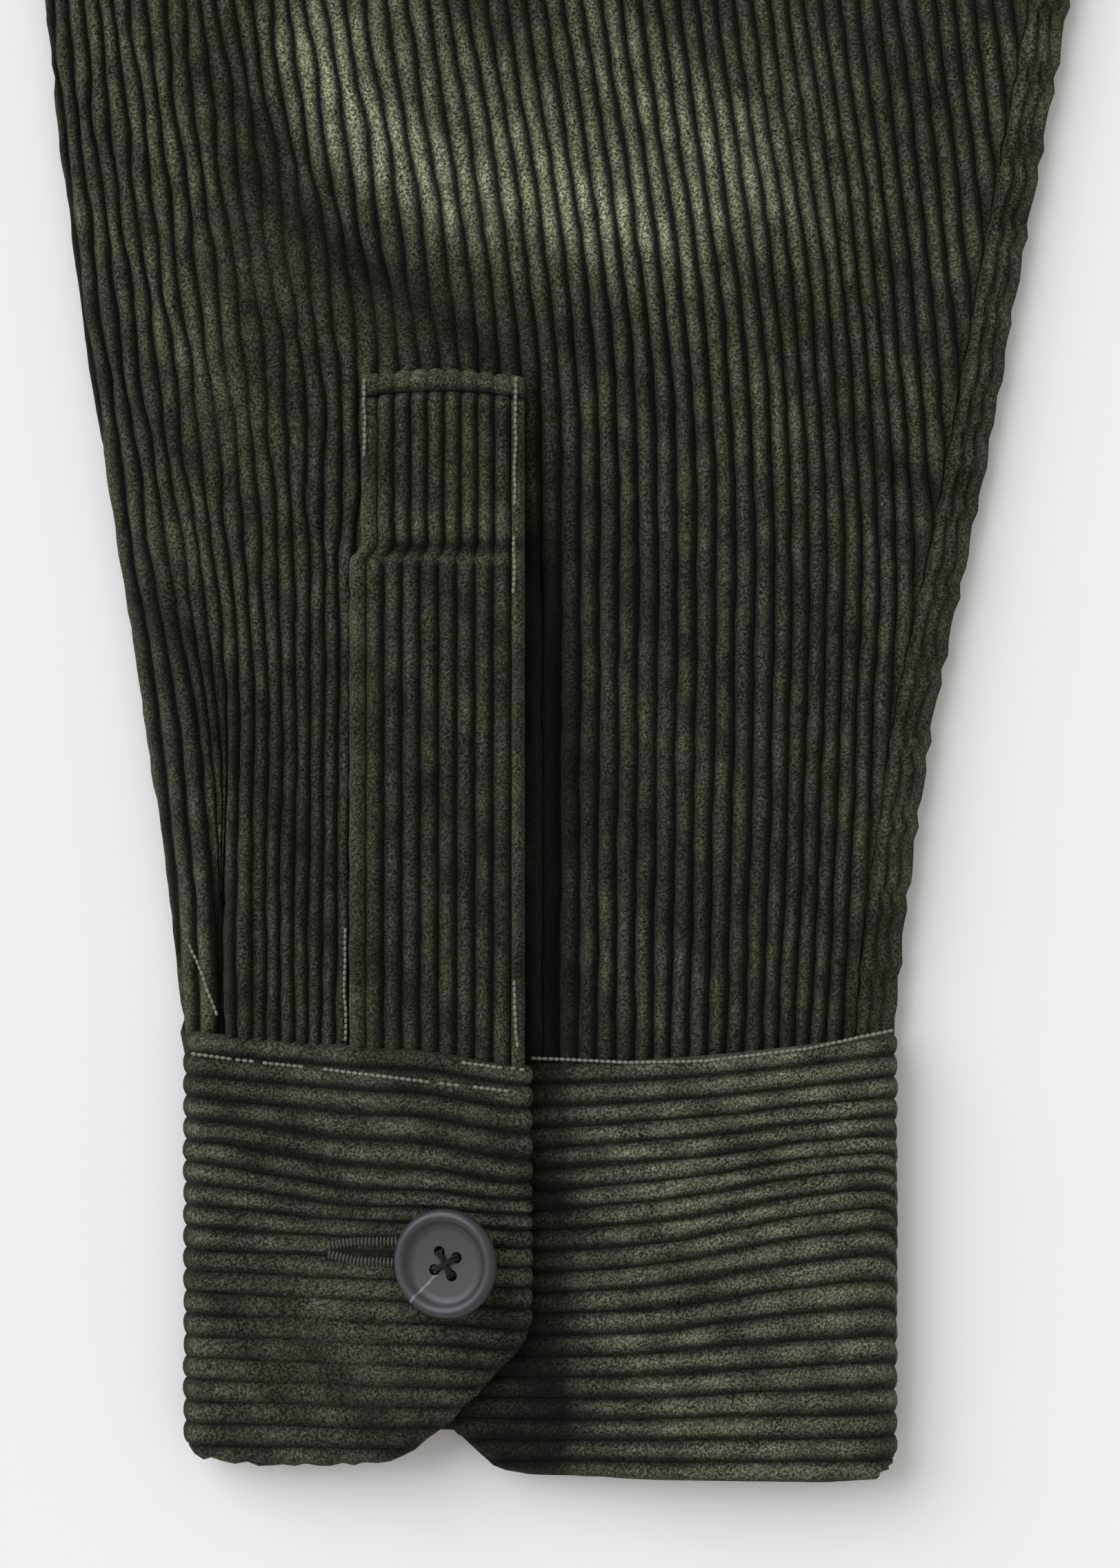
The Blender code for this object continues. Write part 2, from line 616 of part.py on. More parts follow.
def make_buttons():
    """Buttons down the front, and one on each cuff, tilted as its shank lets it."""
    mesh = button_mesh()
    lap_top = CLOTH + SEAM
    for number in range(FRONT_BUTTONS):
        y = FRONT_BUTTON_TOP_Y - number * FRONT_BUTTON_PITCH
        around = BUTTON_RADIUS * np.array([[0, 0], [1, 0], [-1, 0], [0, 1], [0, -1]])
        seat = np.max(front_top_z(around[:, 0], y + around[:, 1])) + lap_top + SEAM
        place = garment_points([0.0, y, seat], 1)
        add_button(f"button_front_{number + 1}", mesh, place, Matrix.Identity(4))
    cuff_top = LAP_Z + END_RISE + DOUBLE / 2.0
    lift = BUTTON_RADIUS * math.sin(CUFF_BUTTON_TILT) + SEAM
    for name, side in (("button_cuff_right", 1), ("button_cuff_left", -1)):
        plan = sleeve_place(BUTTON_S, BUTTON_C)
        place = garment_points([*plan, cuff_top + lift], side)
        turn = Matrix.Rotation(-side * FOREARM_TURN, 4, "Z")
        turn = turn @ Matrix.Rotation(-side * CUFF_BUTTON_TILT, 4, "Y")
        add_button(name, mesh, place, turn)


clear_scene()
SHIRT = bpy.data.collections.new("overshirt")
CUTTERS = bpy.data.collections.new("cutters")
bpy.context.scene.collection.children.link(SHIRT)
bpy.context.scene.collection.children.link(CUTTERS)
CORDUROY = finish_material("corduroy", OLIVE, 0.95)
BUTTON_HORN = finish_material("button_horn", HORN, 0.45)

make_back()
make_front("front_right", 1, 0.0)
make_front("front_left", -1, CLOTH + SEAM)
for label, side_sign in (("right", 1), ("left", -1)):
    make_sleeve(f"sleeve_{label}", side_sign)
    make_cuff(f"cuff_{label}", side_sign)
    make_tower(f"placket_{label}", side_sign)
make_collar()
make_buttons()
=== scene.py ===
"""The look of a wide-wale corduroy overshirt that lies flat, seen close at one sleeve end.

Lengths in the script are millimetres until a mesh is made, and the frame is in metres.
The right sleeve, at negative x, is the one in view, and is made finer than the rest.
On a sleeve, s runs up from the end of the cuff, and c runs across, towards the body.
"""
import math
from functools import partial

import bpy
import numpy as np
from mathutils import Matrix, Vector


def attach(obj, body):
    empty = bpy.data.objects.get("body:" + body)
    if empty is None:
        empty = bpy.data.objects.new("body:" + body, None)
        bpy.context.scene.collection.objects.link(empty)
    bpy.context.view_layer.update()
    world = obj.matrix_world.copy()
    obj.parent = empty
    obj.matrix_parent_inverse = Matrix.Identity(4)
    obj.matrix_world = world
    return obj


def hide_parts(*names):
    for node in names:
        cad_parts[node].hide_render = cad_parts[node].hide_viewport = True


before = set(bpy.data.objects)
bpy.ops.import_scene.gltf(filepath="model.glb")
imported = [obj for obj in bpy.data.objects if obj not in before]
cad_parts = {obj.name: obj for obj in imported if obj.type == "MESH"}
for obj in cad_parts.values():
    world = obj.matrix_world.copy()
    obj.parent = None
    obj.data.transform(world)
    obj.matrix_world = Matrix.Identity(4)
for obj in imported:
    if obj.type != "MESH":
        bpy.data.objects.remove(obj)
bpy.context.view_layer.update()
MM = 0.001

# Cloth
WALE = 3.175
RIDGE = 0.95
# Painted shade on the flank of each wale away from the light, and painted light on the other flank
PILE_FLANK_SHADE = 0.56
INNER_RIDGE = 0.3
COLLAR_RIDGE = 0.8
CLOTH = 2.4
SHELL = 1.5
SEAM = 0.3
FINE_PHASES = (0.0, 0.07, 0.19, 0.36, 0.64, 0.81, 0.93)
PLAIN_PHASES = (0.0, 0.2, 0.5, 0.8)
UNDER_PHASES = (0.0, 0.25, 0.75)

# Body
OVERALL_LENGTH = 781.08
SIDE_HALF = 288.0
SHOULDER_HALF = 258.0
NECK_HALF = 88.0
NECK_Y = 740.0
SHOULDER_Y = 692.0
UNDERARM_Y = 452.0
FRONT_NECK_DEPTH = 76.0
BACK_NECK_DEPTH = 20.0
HEM_RISE = 24.0
FRONT_LAP = 17.0
FRONT_TOP = 6.3
FRONT_EDGE_Z = 1.0
EDGE_ROUND = 9.0
BACK_INSET = 5.0
LAP_FADE = 26.0
SHOULDER_FADE = 26.0
HEM_TURNING = 14.0
FRONT_TURNING = 30.0
COLLAR_STITCH_INSET = 6.0

# Sleeve
FOREARM_TURN = math.radians(34.0)
UPPER_ARM_TURN = math.radians(52.0)
ELBOW_START = 255.0
ELBOW_LENGTH = 95.0
TURN_RATE = (UPPER_ARM_TURN - FOREARM_TURN) / ELBOW_LENGTH
UNDERARM_S = 436.0
UNDERARM_C = 112.0
SLEEVE_EDGE_Z = 3.0
SLEEVE_ROUND = 10.0
SLEEVE_UNDER_ROUND = 4.0
ARMHOLE_Z = 2.2
ARMHOLE_TUCK = 4.5
ARMHOLE_ROUND = 5.0
TUCKED_IN = 2.2
WELT = 6.8
WELT_WALES = 3.0
SEAM_COLUMNS = 19
PUCKER_PITCH = 7.6
FIRST_WALE = -6.0
LAST_WALE = 66.0
FINE_LENGTH = 196.0
DENSE_SECTIONS = 900
CUFF_SEAM_REACH = 40.0
SCYE_BOW_START = 338.0
# The darkest the sleeve's painted shade may go
DARKEST_PAINTED_SHADE = -0.94

# Cuff
CUFF_HALF = 59.0
CUFF_SEAM_LOW = 68.6
CUFF_SEAM_RISE = 4.2
CUFF_SEAM_SLANT = 1.2
CUFF_WALES = 20
CUFF_WALL = 3.4
CUFF_RIDGE = 0.66
# Painted light on the flank of each cuff wale towards the sleeve, and painted shade on the flank towards
# the cuff's end
CUFF_FLANK_SHADE = -0.3
CUFF_HEIGHT = 70.0
LAP_DIP = 2.6
LAY_RISE = 5.2
CUFF_TOP_RISE = 2.6
LAP_BASE = 2.4
LEFT_FOLD_LOW = 8.4
RIGHT_FOLD_LOW = 6.0
LAP_END_C = -1.7
LAP_Z = 7.6
LAY_Z = 6.4
END_RISE = 2.5
UNDERLAP_END_C = -24.0
# The darkest the cuff's painted shade may go
DARKEST_CUFF_PAINTED_SHADE = -0.88

# Placket tower
TOWER_LEFT_C = -31.3
TOWER_HEAD_LEFT_C = -29.4
TOWER_RIGHT_C = -2.6
TOWER_HEAD_S = 153.5
TOWER_END_S = 183.2
TOWER_WALL = 2.6
TOWER_ROLL = 2.1
TOWER_LEFT_ROLL = 2.6
TOWER_WALES = 8
TOWER_HEAD_ROLL = 3.2
TOWER_ARCH = 1.7
TOWER_RIDGE = 0.85
TOWER_FOOT_TUCK = 1.6
TOWER_END_STEPS = (5.2, 4.6, 4.0, 3.6, 3.2, 2.8, 2.4, 1.9, 1.4, 0.9, 0.5, 0.2, 0.0)
ROLL_SHARES = (0.0, 0.06, 0.15, 0.3, 0.5, 0.7, 0.85, 0.94)
SLIT_C = 4.0
SLIT_WIDTH = 8.0
SLIT_DEPTH = 2.6

# Buttons
BUTTON_RADIUS = 9.0
BUTTON_HEIGHT = 3.0
BUTTON_HOLE_RADIUS = 0.95
BUTTON_HOLE_OFFSET = 2.2
BUTTON_S = 37.0
BUTTON_C = -14.8
CUFF_BUTTON_TILT = math.radians(20.0)
CUFF_BUTTON_SPIN = math.radians(-16.0)
FRONT_BUTTON_TOP_Y = 644.0
FRONT_BUTTON_PITCH = 92.0
FRONT_BUTTONS = 7
FRONT_BUTTON_YS = [FRONT_BUTTON_TOP_Y - number * FRONT_BUTTON_PITCH for number in range(FRONT_BUTTONS)]

# View
VIEW_C = 3.3
VIEW_S = 115.2
VIEW_HEIGHT = 259.9
LENS = 90.0
SENSOR = 36.0
CAMERA_RISE = 6.0
FLOOR_HALF = 40.0
KEY_STRENGTH = 2.45
KEY_ANGLE = math.radians(56.0)
KEY_LEAN = (-0.85, 0.6, 0.8)
FILL_STRENGTH = 0.62

# Sleeve sections. Columns: along and across at the inner edge, the same at the outer edge,
# and the height of the upper layer
SLEEVE_SECTIONS = (
    (71.8, 58.8, 71.8, -58.8, 8.6),
    (84.0, 59.6, 84.0, -59.4, 8.4),
    (106.0, 62.2, 106.0, -62.2, 8.0),
    (128.0, 65.5, 128.0, -65.6, 7.7),
    (151.0, 70.4, 151.0, -69.3, 7.5),
    (173.0, 74.8, 173.0, -72.8, 7.4),
    (196.0, 78.8, 196.0, -76.2, 7.4),
    (219.0, 83.0, 219.0, -79.0, 7.4),
    (241.0, 87.0, 241.0, -81.4, 7.4),
    (275.0, 93.0, 277.0, -85.0, 7.3),
    (308.0, 98.6, 322.0, -89.0, 7.2),
    (338.0, 103.0, 375.0, -93.5, 7.0),
    (364.0, 106.4, 430.0, -97.0, 6.8),
    (386.0, 109.0, 485.0, -97.5, 6.6),
    (404.0, 110.6, 540.0, -90.0, 6.4),
    (420.0, 111.6, 584.0, -74.0, 6.3),
)
SLEEVE_START = SLEEVE_SECTIONS[0][0]

# Steps along the sleeve over which the flow of its wales is smoothed
FLOW_BLUR = (-8, -4, 0, 4, 8)

# Where chosen wales lie across the sleeve. Columns: along, then across for each wale of FLOW_WALES
FLOW_WALES = (-2.6, 1.2, 4.0, 13.0, 21.0, 34.0, 42.0)
FLOW_ROWS = (
    (60.0, -63.0, -52.6, -52.1, -31.6, -2.7, 36.4, 57.0),
    (75.0, -63.4, -52.7, -52.1, -31.4, -2.7, 36.8, 57.8),
    (100.0, -65.0, -53.4, -52.3, -31.2, -2.7, 37.6, 59.4),
    (125.0, -67.6, -55.6, -51.4, -31.0, -2.7, 38.2, 60.3),
    (151.0, -71.4, -60.6, -53.4, -30.6, -2.7, 38.6, 62.0),
    (166.0, -73.4, -62.9, -55.4, -30.0, -2.7, 38.4, 61.0),
    (184.0, -75.6, -65.4, -57.6, -29.6, -2.9, 37.2, 59.6),
    (215.0, -79.6, -69.4, -61.6, -34.2, -6.8, 33.4, 56.4),
    (245.0, -82.0, -72.7, -64.8, -39.0, -12.0, 29.2, 52.4),
    (300.0, -87.2, -77.8, -70.0, -45.0, -19.0, 23.2, 46.6),
    (360.0, -92.4, -83.0, -75.2, -50.2, -24.2, 18.0, 44.0),
    (620.0, -92.4, -83.0, -75.2, -50.2, -24.2, 18.0, 44.0),
)

# Soft folds of the solids: from one point to another, half width, and how far the cloth stands up.
# The body's points are (x, y), and the sleeve's are (along, across)
BODY_FOLDS = (
    (-292, 470, -205, 560, 17, 3.4),
    (-286, 440, -190, 470, 15, 2.6),
    (-268, 420, -200, 330, 16, 2.4),
    (-150, 690, -120, 560, 22, 1.8),
    (-60, 560, -95, 410, 24, 1.6),
    (-210, 300, -180, 130, 30, 2.0),
    (-80, 300, -110, 60, 26, 1.8),
    (-235, 190, -240, 30, 22, 2.2),
    (-36, 470, -140, 440, 16, 1.2),
    (-250, 640, -180, 600, 18, 1.6),
)
SLEEVE_FOLDS = (
    (84, 4, 160, 4, 8, -2.6),
    (112, 36, 190, 32, 24, 3.6),
    (96, -46, 190, -54, 14, 1.8),
    (198, 34, 204, -16, 15, 3.6),
    (240, 62, 212, 40, 14, 2.0),
    (238, -58, 196, -44, 11, 1.8),
    (300, 74, 284, 12, 15, 3.8),
    (330, 84, 322, 20, 14, 3.2),
    (268, -66, 330, -62, 18, 2.2),
    (400, 92, 470, 10, 18, 3.4),
    (420, -70, 520, -62, 20, 1.8),
)

# Smaller creases of the sleeve end: along and across at both ends, half width, rise
CREASES = (
    (70, 0.6, 150, 0.0, 2.6, -3.0),
    (148, -1.0, 178, -1.4, 2.2, -1.4),
    (74, -52.6, 96, -52.2, 1.3, -2.6),
    (96, -52.2, 132, -51.4, 1.8, -1.3),
    (76, -49.4, 104, -49.0, 2.4, 1.2),
    (160, 57, 154, 66, 3.0, 1.1),
    (166, 60, 163, 68, 2.6, -1.0),
    (232, -48, 200, -28, 6.0, -2.0),
    (200, -28, 186, -8, 5.0, -1.2),
    (222, -76, 206, -60, 3.0, -0.9),
    (214, -74, 196, -60, 3.0, 0.8),
    (158, -38, 150, -34, 2.4, -1.3),
    (150, -64, 142, -46, 4.0, -0.7),
    (118, -62, 100, -56, 3.0, 0.7),
    (88, 56, 78, 60, 2.0, -1.0),
)

# Painted highlights and painted shade in streaks over the sleeve: lighter where a fold faces the light,
# darker in the valleys and creases and beside the placket. Columns: half width, strength, then points
# (along, across)
PAINTED_LIGHT_AND_SHADE_STREAKS = (
    (7.5, 3.05, (238, -36), (228, -32), (220, -25), (214, -13), (210.5, 2), (209, 14), (207, 24)),
    (15.0, 1.3, (240, -30), (226, -12), (222, 8), (222, 30)),
    (9.0, 0.9, (246, 6), (232, 14), (214, 38), (208, 50)),
    (8.0, 0.45, (200, 4), (192, 30), (176, 40)),
    (9.0, -0.55, (246, -10), (243, -4)),
    (2.5, -0.94, (66, -0.4), (120, 0.1), (146, -0.4), (156, -1.2)),
    (4.5, -0.4, (70, 2.0), (84, 3.4), (150, 3.0)),
    (7.0, -0.45, (206, -38), (197, -24), (190, -8), (188, 4)),
    (6.0, -0.4, (246, -46), (226, -44), (206, -52), (188, -46)),
    (9.0, 0.6, (238, -70), (214, -62), (190, -56)),
    (8.0, 0.15, (160, -54), (152, -46), (146, -40)),
    (5.0, -0.35, (146, -62), (134, -56), (122, -54)),
    (9.0, -0.3, (130, -42), (104, -42), (84, -40)),
    (1.9, -0.85, (72, -52.4), (84, -52.6), (100, -52.4)),
    (2.2, 0.6, (100, -57.5), (88, -56.5), (78, -55)),
    (9.0, 0.2, (86, 12), (82, 30), (84, 44)),
    (12.0, 0.2, (176, 32), (150, 36), (120, 34)),
    (6.0, 0.35, (100, 53), (140, 58), (178, 62)),
    (3.0, -0.5, (168, 58), (164, 66)),
    (5.0, 0.4, (240, 78), (214, 70), (196, 66)),
)

# Places where the wales are worn flat. Columns: along, across, reach along, reach across, share lost
WORN_PLACES = (
    (201, -45, 15, 8, 0.6), (177, -52, 11, 8, 0.55), (193, -20, 8, 14, 0.55), (150, -60, 12, 6, 0.4),
    (120, 20, 20, 12, 0.3), (225, 40, 16, 12, 0.3),
)

# Lower outlines of the cuff's outer and inner end, with their slanted corners: across, then along
LAP_OUTLINE = (
    (-59, -57.5, -54, -46, -34, -23, -15, -8, -3, -1.7),
    (9, 6, 3.4, 2.4, 2.6, 3.8, 9.8, 17.2, 22.4, 26),
)
UNDERLAP_OUTLINE = (
    (-24, -15, -7.2, -4.7, 10, 47, 54, 58, 59),
    (15.8, 9, 2.0, 1.3, 0.7, 0, 0.6, 3, 6),
)

# How far the back reaches up under the collar: across, then how much higher
NECK_FILL = ((0, 38, 70, 82, 88), (4, 6, 12, 12, 0))

# Section of a button from the middle of its face to its back, as shares of its radius and height
BUTTON_OUTLINE = (
    (0.0, 0.56), (0.3, 0.56), (0.6, 0.58), (0.68, 0.6), (0.7, 0.64), (0.72, 0.66),
    (0.76, 0.8), (0.8, 0.93), (0.86, 1.0), (0.92, 0.98), (0.97, 0.86), (1.0, 0.66),
    (0.995, 0.5), (0.95, 0.28), (0.86, 0.1), (0.7, 0.0), (0.4, 0.0), (0.0, 0.0),
)

# A button's thread from hole to hole: share of the holes' distance, and height over the face
THREAD_PATH = (
    (-1.0, -0.6), (-1.0, 0.15), (-0.8, 0.5), (0.0, 0.72), (0.8, 0.5), (1.0, 0.15), (1.0, -0.6),
)

# How far the collar turns over at its roll line, and falls beyond it
ROLL_OUT = 3.4
ROLL_DROP = 3.0
FALL_OUT = 8.0
FALL_DROP = 7.0
FALL_CROWN = 1.4
COLLAR_WALL = 2.2

# Collar, from the centre back to the centre front.
# Columns: x, y and z of the neck seam, of the roll line and of the free edge
COLLAR_SECTIONS = (
    (0.0, 723.0, 3.6, 0.0, 746.0, 27.0, 0.0, 780.2, 2.0),
    (-38.0, 727.0, 3.6, -38.0, 748.0, 27.0, -42.0, 779.0, 2.0),
    (-70.0, 736.0, 4.2, -70.0, 750.0, 26.5, -90.0, 774.0, 2.2),
    (-87.0, 744.5, 6.0, -83.0, 745.0, 25.5, -121.0, 755.0, 4.6),
    (-90.0, 731.0, 9.4, -80.0, 733.0, 24.5, -131.0, 724.0, 9.0),
    (-83.0, 711.0, 9.8, -71.0, 719.0, 23.0, -128.0, 684.0, 10.2),
    (-66.0, 693.0, 10.0, -54.0, 703.0, 21.5, -118.0, 644.0, 10.6),
    (-44.0, 678.0, 10.6, -34.0, 690.0, 20.5, -105.0, 603.0, 11.4),
    (-22.0, 670.0, 11.6, -17.0, 682.0, 20.0, -72.0, 618.0, 12.6),
    (-3.0, 668.0, 12.2, -3.0, 679.0, 20.0, -26.0, 646.0, 14.6),
)

# Colours, linear
PILE_TIP = (0.049, 0.05, 0.0328)
# Colour the grooves are painted: painted shade, far darker than the tips
PILE_GROOVE_SHADE = (0.0022, 0.0023, 0.0015)
# The cuff is the same cloth as the sleeve, painted lighter: painted light on its crosswise wales
CUFF_TIP_PAINTED_LIGHTER = (0.081, 0.0855, 0.0587)
# Painted shade of the cuff's grooves
CUFF_GROOVE_SHADE = (0.008, 0.0085, 0.0056)
GROUND = (0.17, 0.175, 0.135)
FILL_COLOUR = (1.0, 0.982, 0.945)
KEY_COLOUR = (1.0, 1.024, 1.07)
HOLE_THREAD = (0.06, 0.06, 0.05)
BUTTON_THREAD = (0.008, 0.008, 0.0075)
THREAD = (0.03, 0.029, 0.022)
SLIT_DARK = (0.003, 0.003, 0.002)
FACE_GREY = (0.031, 0.031, 0.0355)
RIM_GREY = (0.024, 0.024, 0.027)
VEIN_GREY = (0.22, 0.21, 0.2)


def ease(value, low, high):
    """A smooth step from 0 at low to 1 at high."""
    share = np.clip((np.asarray(value, float) - low) / (high - low), 0.0, 1.0)
    return share * share * (3.0 - 2.0 * share)


def rounding(distance, reach):
    """A quarter ellipse: 0 at an edge, 1 once the distance reaches the rounding's width."""
    share = np.clip(np.asarray(distance, float) / reach, 0.0, 1.0)
    return np.sqrt(1.0 - (1.0 - share) ** 2)


def hump(value, centre, reach):
    """A soft bump of height 1."""
    return np.exp(-(((np.asarray(value, float) - centre) / reach) ** 2))


def through(rows, count):
    """A smooth curve through the rows of a table, at count even steps."""
    rows = np.asarray(rows, float)
    places = np.linspace(0.0, len(rows) - 1.0, count)
    first = np.minimum(places.astype(int), len(rows) - 2)
    share = (places - first)[:, None]
    before = rows[np.maximum(first - 1, 0)]
    start = rows[first]
    end = rows[first + 1]
    after = rows[np.minimum(first + 2, len(rows) - 1)]
    rise = (end - before) / 2.0
    leave = (after - start) / 2.0
    square = share * share
    cube = square * share
    return (
        (2 * cube - 3 * square + 1) * start
        + (cube - 2 * square + share) * rise
        + (3 * square - 2 * cube) * end
        + (cube - square) * leave
    )


def uneven(a, b, pitch, seed):
    """Smooth irregular waves between -1 and 1, the same on each run."""
    turn = 2.0 * math.pi / pitch
    return (
        np.sin(turn * a + 1.7 * b + seed)
        + 0.7 * np.sin(1.618 * turn * a - 2.3 * b + 2.1 * seed)
        + 0.5 * np.sin(2.71 * turn * a + 3.9 * b + 3.3 * seed)
    ) / 2.2


def pairs(a, b):
    """Two coordinates, numbers or arrays, as one array of points."""
    return np.stack(np.broadcast_arrays(np.asarray(a, float), np.asarray(b, float)), axis=-1)


def reach_along(path):
    """Length along a path, from its start to each of its points."""
    return np.concatenate([[0.0], np.cumsum(np.linalg.norm(np.diff(path, axis=0), axis=1))])


def sleeve_turn(s):
    """How far the sleeve has turned from straight down."""
    return FOREARM_TURN + np.clip(s - ELBOW_START, 0.0, ELBOW_LENGTH) * TURN_RATE


def turned_place(s, c):
    """Plan position of a point of the sleeve before it is moved to the armhole."""
    turn = sleeve_turn(s)
    before = np.minimum(s, ELBOW_START)
    beyond = np.maximum(s - ELBOW_START - ELBOW_LENGTH, 0.0)
    x = before * math.sin(FOREARM_TURN) + (math.cos(FOREARM_TURN) - np.cos(turn)) / TURN_RATE
    y = before * math.cos(FOREARM_TURN) + (np.sin(turn) - math.sin(FOREARM_TURN)) / TURN_RATE
    x = x + beyond * math.sin(UPPER_ARM_TURN) + c * np.cos(turn)
    y = y + beyond * math.cos(UPPER_ARM_TURN) - c * np.sin(turn)
    return np.stack([x, y], axis=-1)


SLEEVE_ORIGIN = np.array([-SIDE_HALF, UNDERARM_Y]) - turned_place(
    np.float64(UNDERARM_S), np.float64(UNDERARM_C)
)


def sleeve_place(s, c):
    """Plan position, in the garment, of a point of the right sleeve."""
    s, c = np.broadcast_arrays(np.asarray(s, float), np.asarray(c, float))
    return turned_place(s, c) + SLEEVE_ORIGIN


def armhole(share):
    """Plan points of the right armhole, from the underarm at 0 to the shoulder at 1."""
    share = np.asarray(share, float)
    width = SIDE_HALF - SHOULDER_HALF
    x = -SIDE_HALF + width * (1.0 - (1.0 - share) ** 2)
    y = UNDERARM_Y + (SHOULDER_Y - UNDERARM_Y) * share
    return np.stack([x, y], axis=-1)


def shoulder_row():
    """The last section of the sleeve, which lies along the armhole."""
    reach = armhole(1.0) - sleeve_place(UNDERARM_S, UNDERARM_C)
    along = np.array([math.sin(UPPER_ARM_TURN), math.cos(UPPER_ARM_TURN)])
    across = np.array([math.cos(UPPER_ARM_TURN), -math.sin(UPPER_ARM_TURN)])
    out_s = UNDERARM_S + reach @ along
    out_c = UNDERARM_C + reach @ across
    return np.array([UNDERARM_S, UNDERARM_C, out_s, out_c, FRONT_TOP])


ARMHOLE_ROW = shoulder_row()


def fold_segments(table, placed):
    """A table of folds as segments: both ends put in their places, half width and rise."""
    return [(placed(*row[0:2]), placed(*row[2:4]), row[4], row[5]) for row in table]


FOLDS = fold_segments(BODY_FOLDS, pairs) + fold_segments(SLEEVE_FOLDS, sleeve_place)
CREASE_SEGMENTS = fold_segments(CREASES, pairs)


def to_segment(place, start, end):
    """Squared distance of places from a segment."""
    along = end - start
    share = np.clip(((place - start) @ along) / (along @ along), 0.0, 1.0)
    near = start + share[..., None] * along
    return np.sum((place - near) ** 2, axis=-1)


def segment_humps(place, segments):
    """The sum of soft ridges along segments, at places in plan."""
    height = np.zeros(place.shape[:-1])
    for start, end, width, rise in segments:
        height += rise * np.exp(-to_segment(place, start, end) / width**2)
    return height


def line_humps(place, lines):
    """Soft ridges along bent lines. A ridge is as high at a bend as elsewhere."""
    height = np.zeros(place.shape[:-1])
    for width, rise, *corners in lines:
        corners = np.array(corners, float)
        away = np.full(place.shape[:-1], np.inf)
        for start, end in zip(corners[:-1], corners[1:]):
            away = np.minimum(away, to_segment(place, start, end))
        height += rise * np.exp(-away / width**2)
    return height


def relief(x, y):
    """How far the upper layer stands above its flat height. Both sides fold alike."""
    return segment_humps(pairs(-np.abs(x), y), FOLDS)


def crease_relief(s, c):
    """The smaller creases of the sleeve end."""
    return segment_humps(pairs(s, c), CREASE_SEGMENTS)


def wale_nap(wale, along):
    """Each wale is brushed a little its own way along its length."""
    number = np.floor(wale)
    slow = np.sin(along / 5.3 + 12.9 * number) * np.sin(along / 2.9 + 7.3 * number)
    return 0.34 * slow + 0.12 * np.sin(along / 1.7 + 4.1 * number)


def sleeve_wear(s, c):
    """The share of their height that the sleeve's wales still have."""
    left = 1.0 + 0.22 * ease(c, 0.0, 20.0)
    for along, across, reach_along, reach_across, lost in WORN_PLACES:
        left = left * (1.0 - lost * hump(s, along, reach_along) * hump(c, across, reach_across))
    return left


def sleeve_nap_and_painted_light(s, c):
    """How much lighter or darker the sleeve's pile is painted: painted highlights and painted shade in
    streaks along its folds, valleys and creases and beside the placket, a little darker all over and low
    down towards the cuff, and slow random drift in the nap.
    """
    place = pairs(s, c)
    drift = 0.14 * uneven(place[..., 0], place[..., 1] / 14.0, 46.0, 0.4)
    # Darker low down towards the cuff, most of all from the placket rightwards
    low_down = 0.22 * (1.0 - ease(s, 140.0, 176.0)) * ease(c, -48.0, 10.0)
    return np.maximum(line_humps(place, PAINTED_LIGHT_AND_SHADE_STREAKS) + drift - 0.1 - low_down, DARKEST_PAINTED_SHADE)


def hem_y(x):
    """The hem rises a little towards the side seams."""
    return HEM_RISE * (np.abs(x) / SIDE_HALF) ** 4


def panel_half_width(y):
    """Half width of a body panel: constant up to the underarm, then along the armhole."""
    share = np.clip((y - UNDERARM_Y) / (SHOULDER_Y - UNDERARM_Y), 0.0, 1.0)
    return -armhole(share)[..., 0]


def panel_plan(base, share, neck_depth, inset):
    """Plan points of a body panel. Its wales start at the base, and bend in with the armhole."""
    near = np.minimum(np.abs(base), NECK_HALF)
    far = np.maximum(np.abs(base) - NECK_HALF, 0.0) / (SIDE_HALF - NECK_HALF)
    neck = NECK_Y - neck_depth * np.sqrt(1.0 - (near / NECK_HALF) ** 2)
    high = neck - far * (NECK_Y - SHOULDER_Y) - inset * ease(near, 0.6 * NECK_HALF, 0.9 * NECK_HALF)
    low = hem_y(base)
    y = low[:, None] + (high - low)[:, None] * share[None, :]
    x = near[:, None] + far[:, None] * (panel_half_width(y) - inset - NECK_HALF)
    return np.sign(base)[:, None] * x, y


def front_top_z(x, y):
    """Outer surface of a front: it rounds down to the floor at the side and at the shoulder."""
    side = np.hypot(SIDE_HALF - np.abs(x), np.maximum(0.0, y - UNDERARM_Y))
    slope = (NECK_Y - SHOULDER_Y) / (SHOULDER_HALF - NECK_HALF)
    below = (NECK_Y - (np.abs(x) - NECK_HALF) * slope - y) / math.hypot(1.0, slope)
    from_end = np.minimum(np.abs(x) - NECK_HALF, SHOULDER_HALF - np.abs(x))
    shoulder = 1.0 - (1.0 - rounding(below, EDGE_ROUND)) * ease(from_end, 0.0, SHOULDER_FADE)
    round_off = rounding(side, EDGE_ROUND) * shoulder
    return FRONT_EDGE_Z + (FRONT_TOP + relief(x, y) - FRONT_EDGE_Z) * round_off


def sleeve_edges(s):
    """Across positions of the sleeve's inner and outer edges, and its upper height, at s."""
    rows = np.vstack([SLEEVE_SECTIONS, ARMHOLE_ROW])
    inner = np.interp(s, rows[:, 0], rows[:, 1])
    outer = np.interp(s, rows[:, 2], rows[:, 3])
    top = np.interp(s, rows[:, 2], rows[:, 4])
    return inner, outer, top


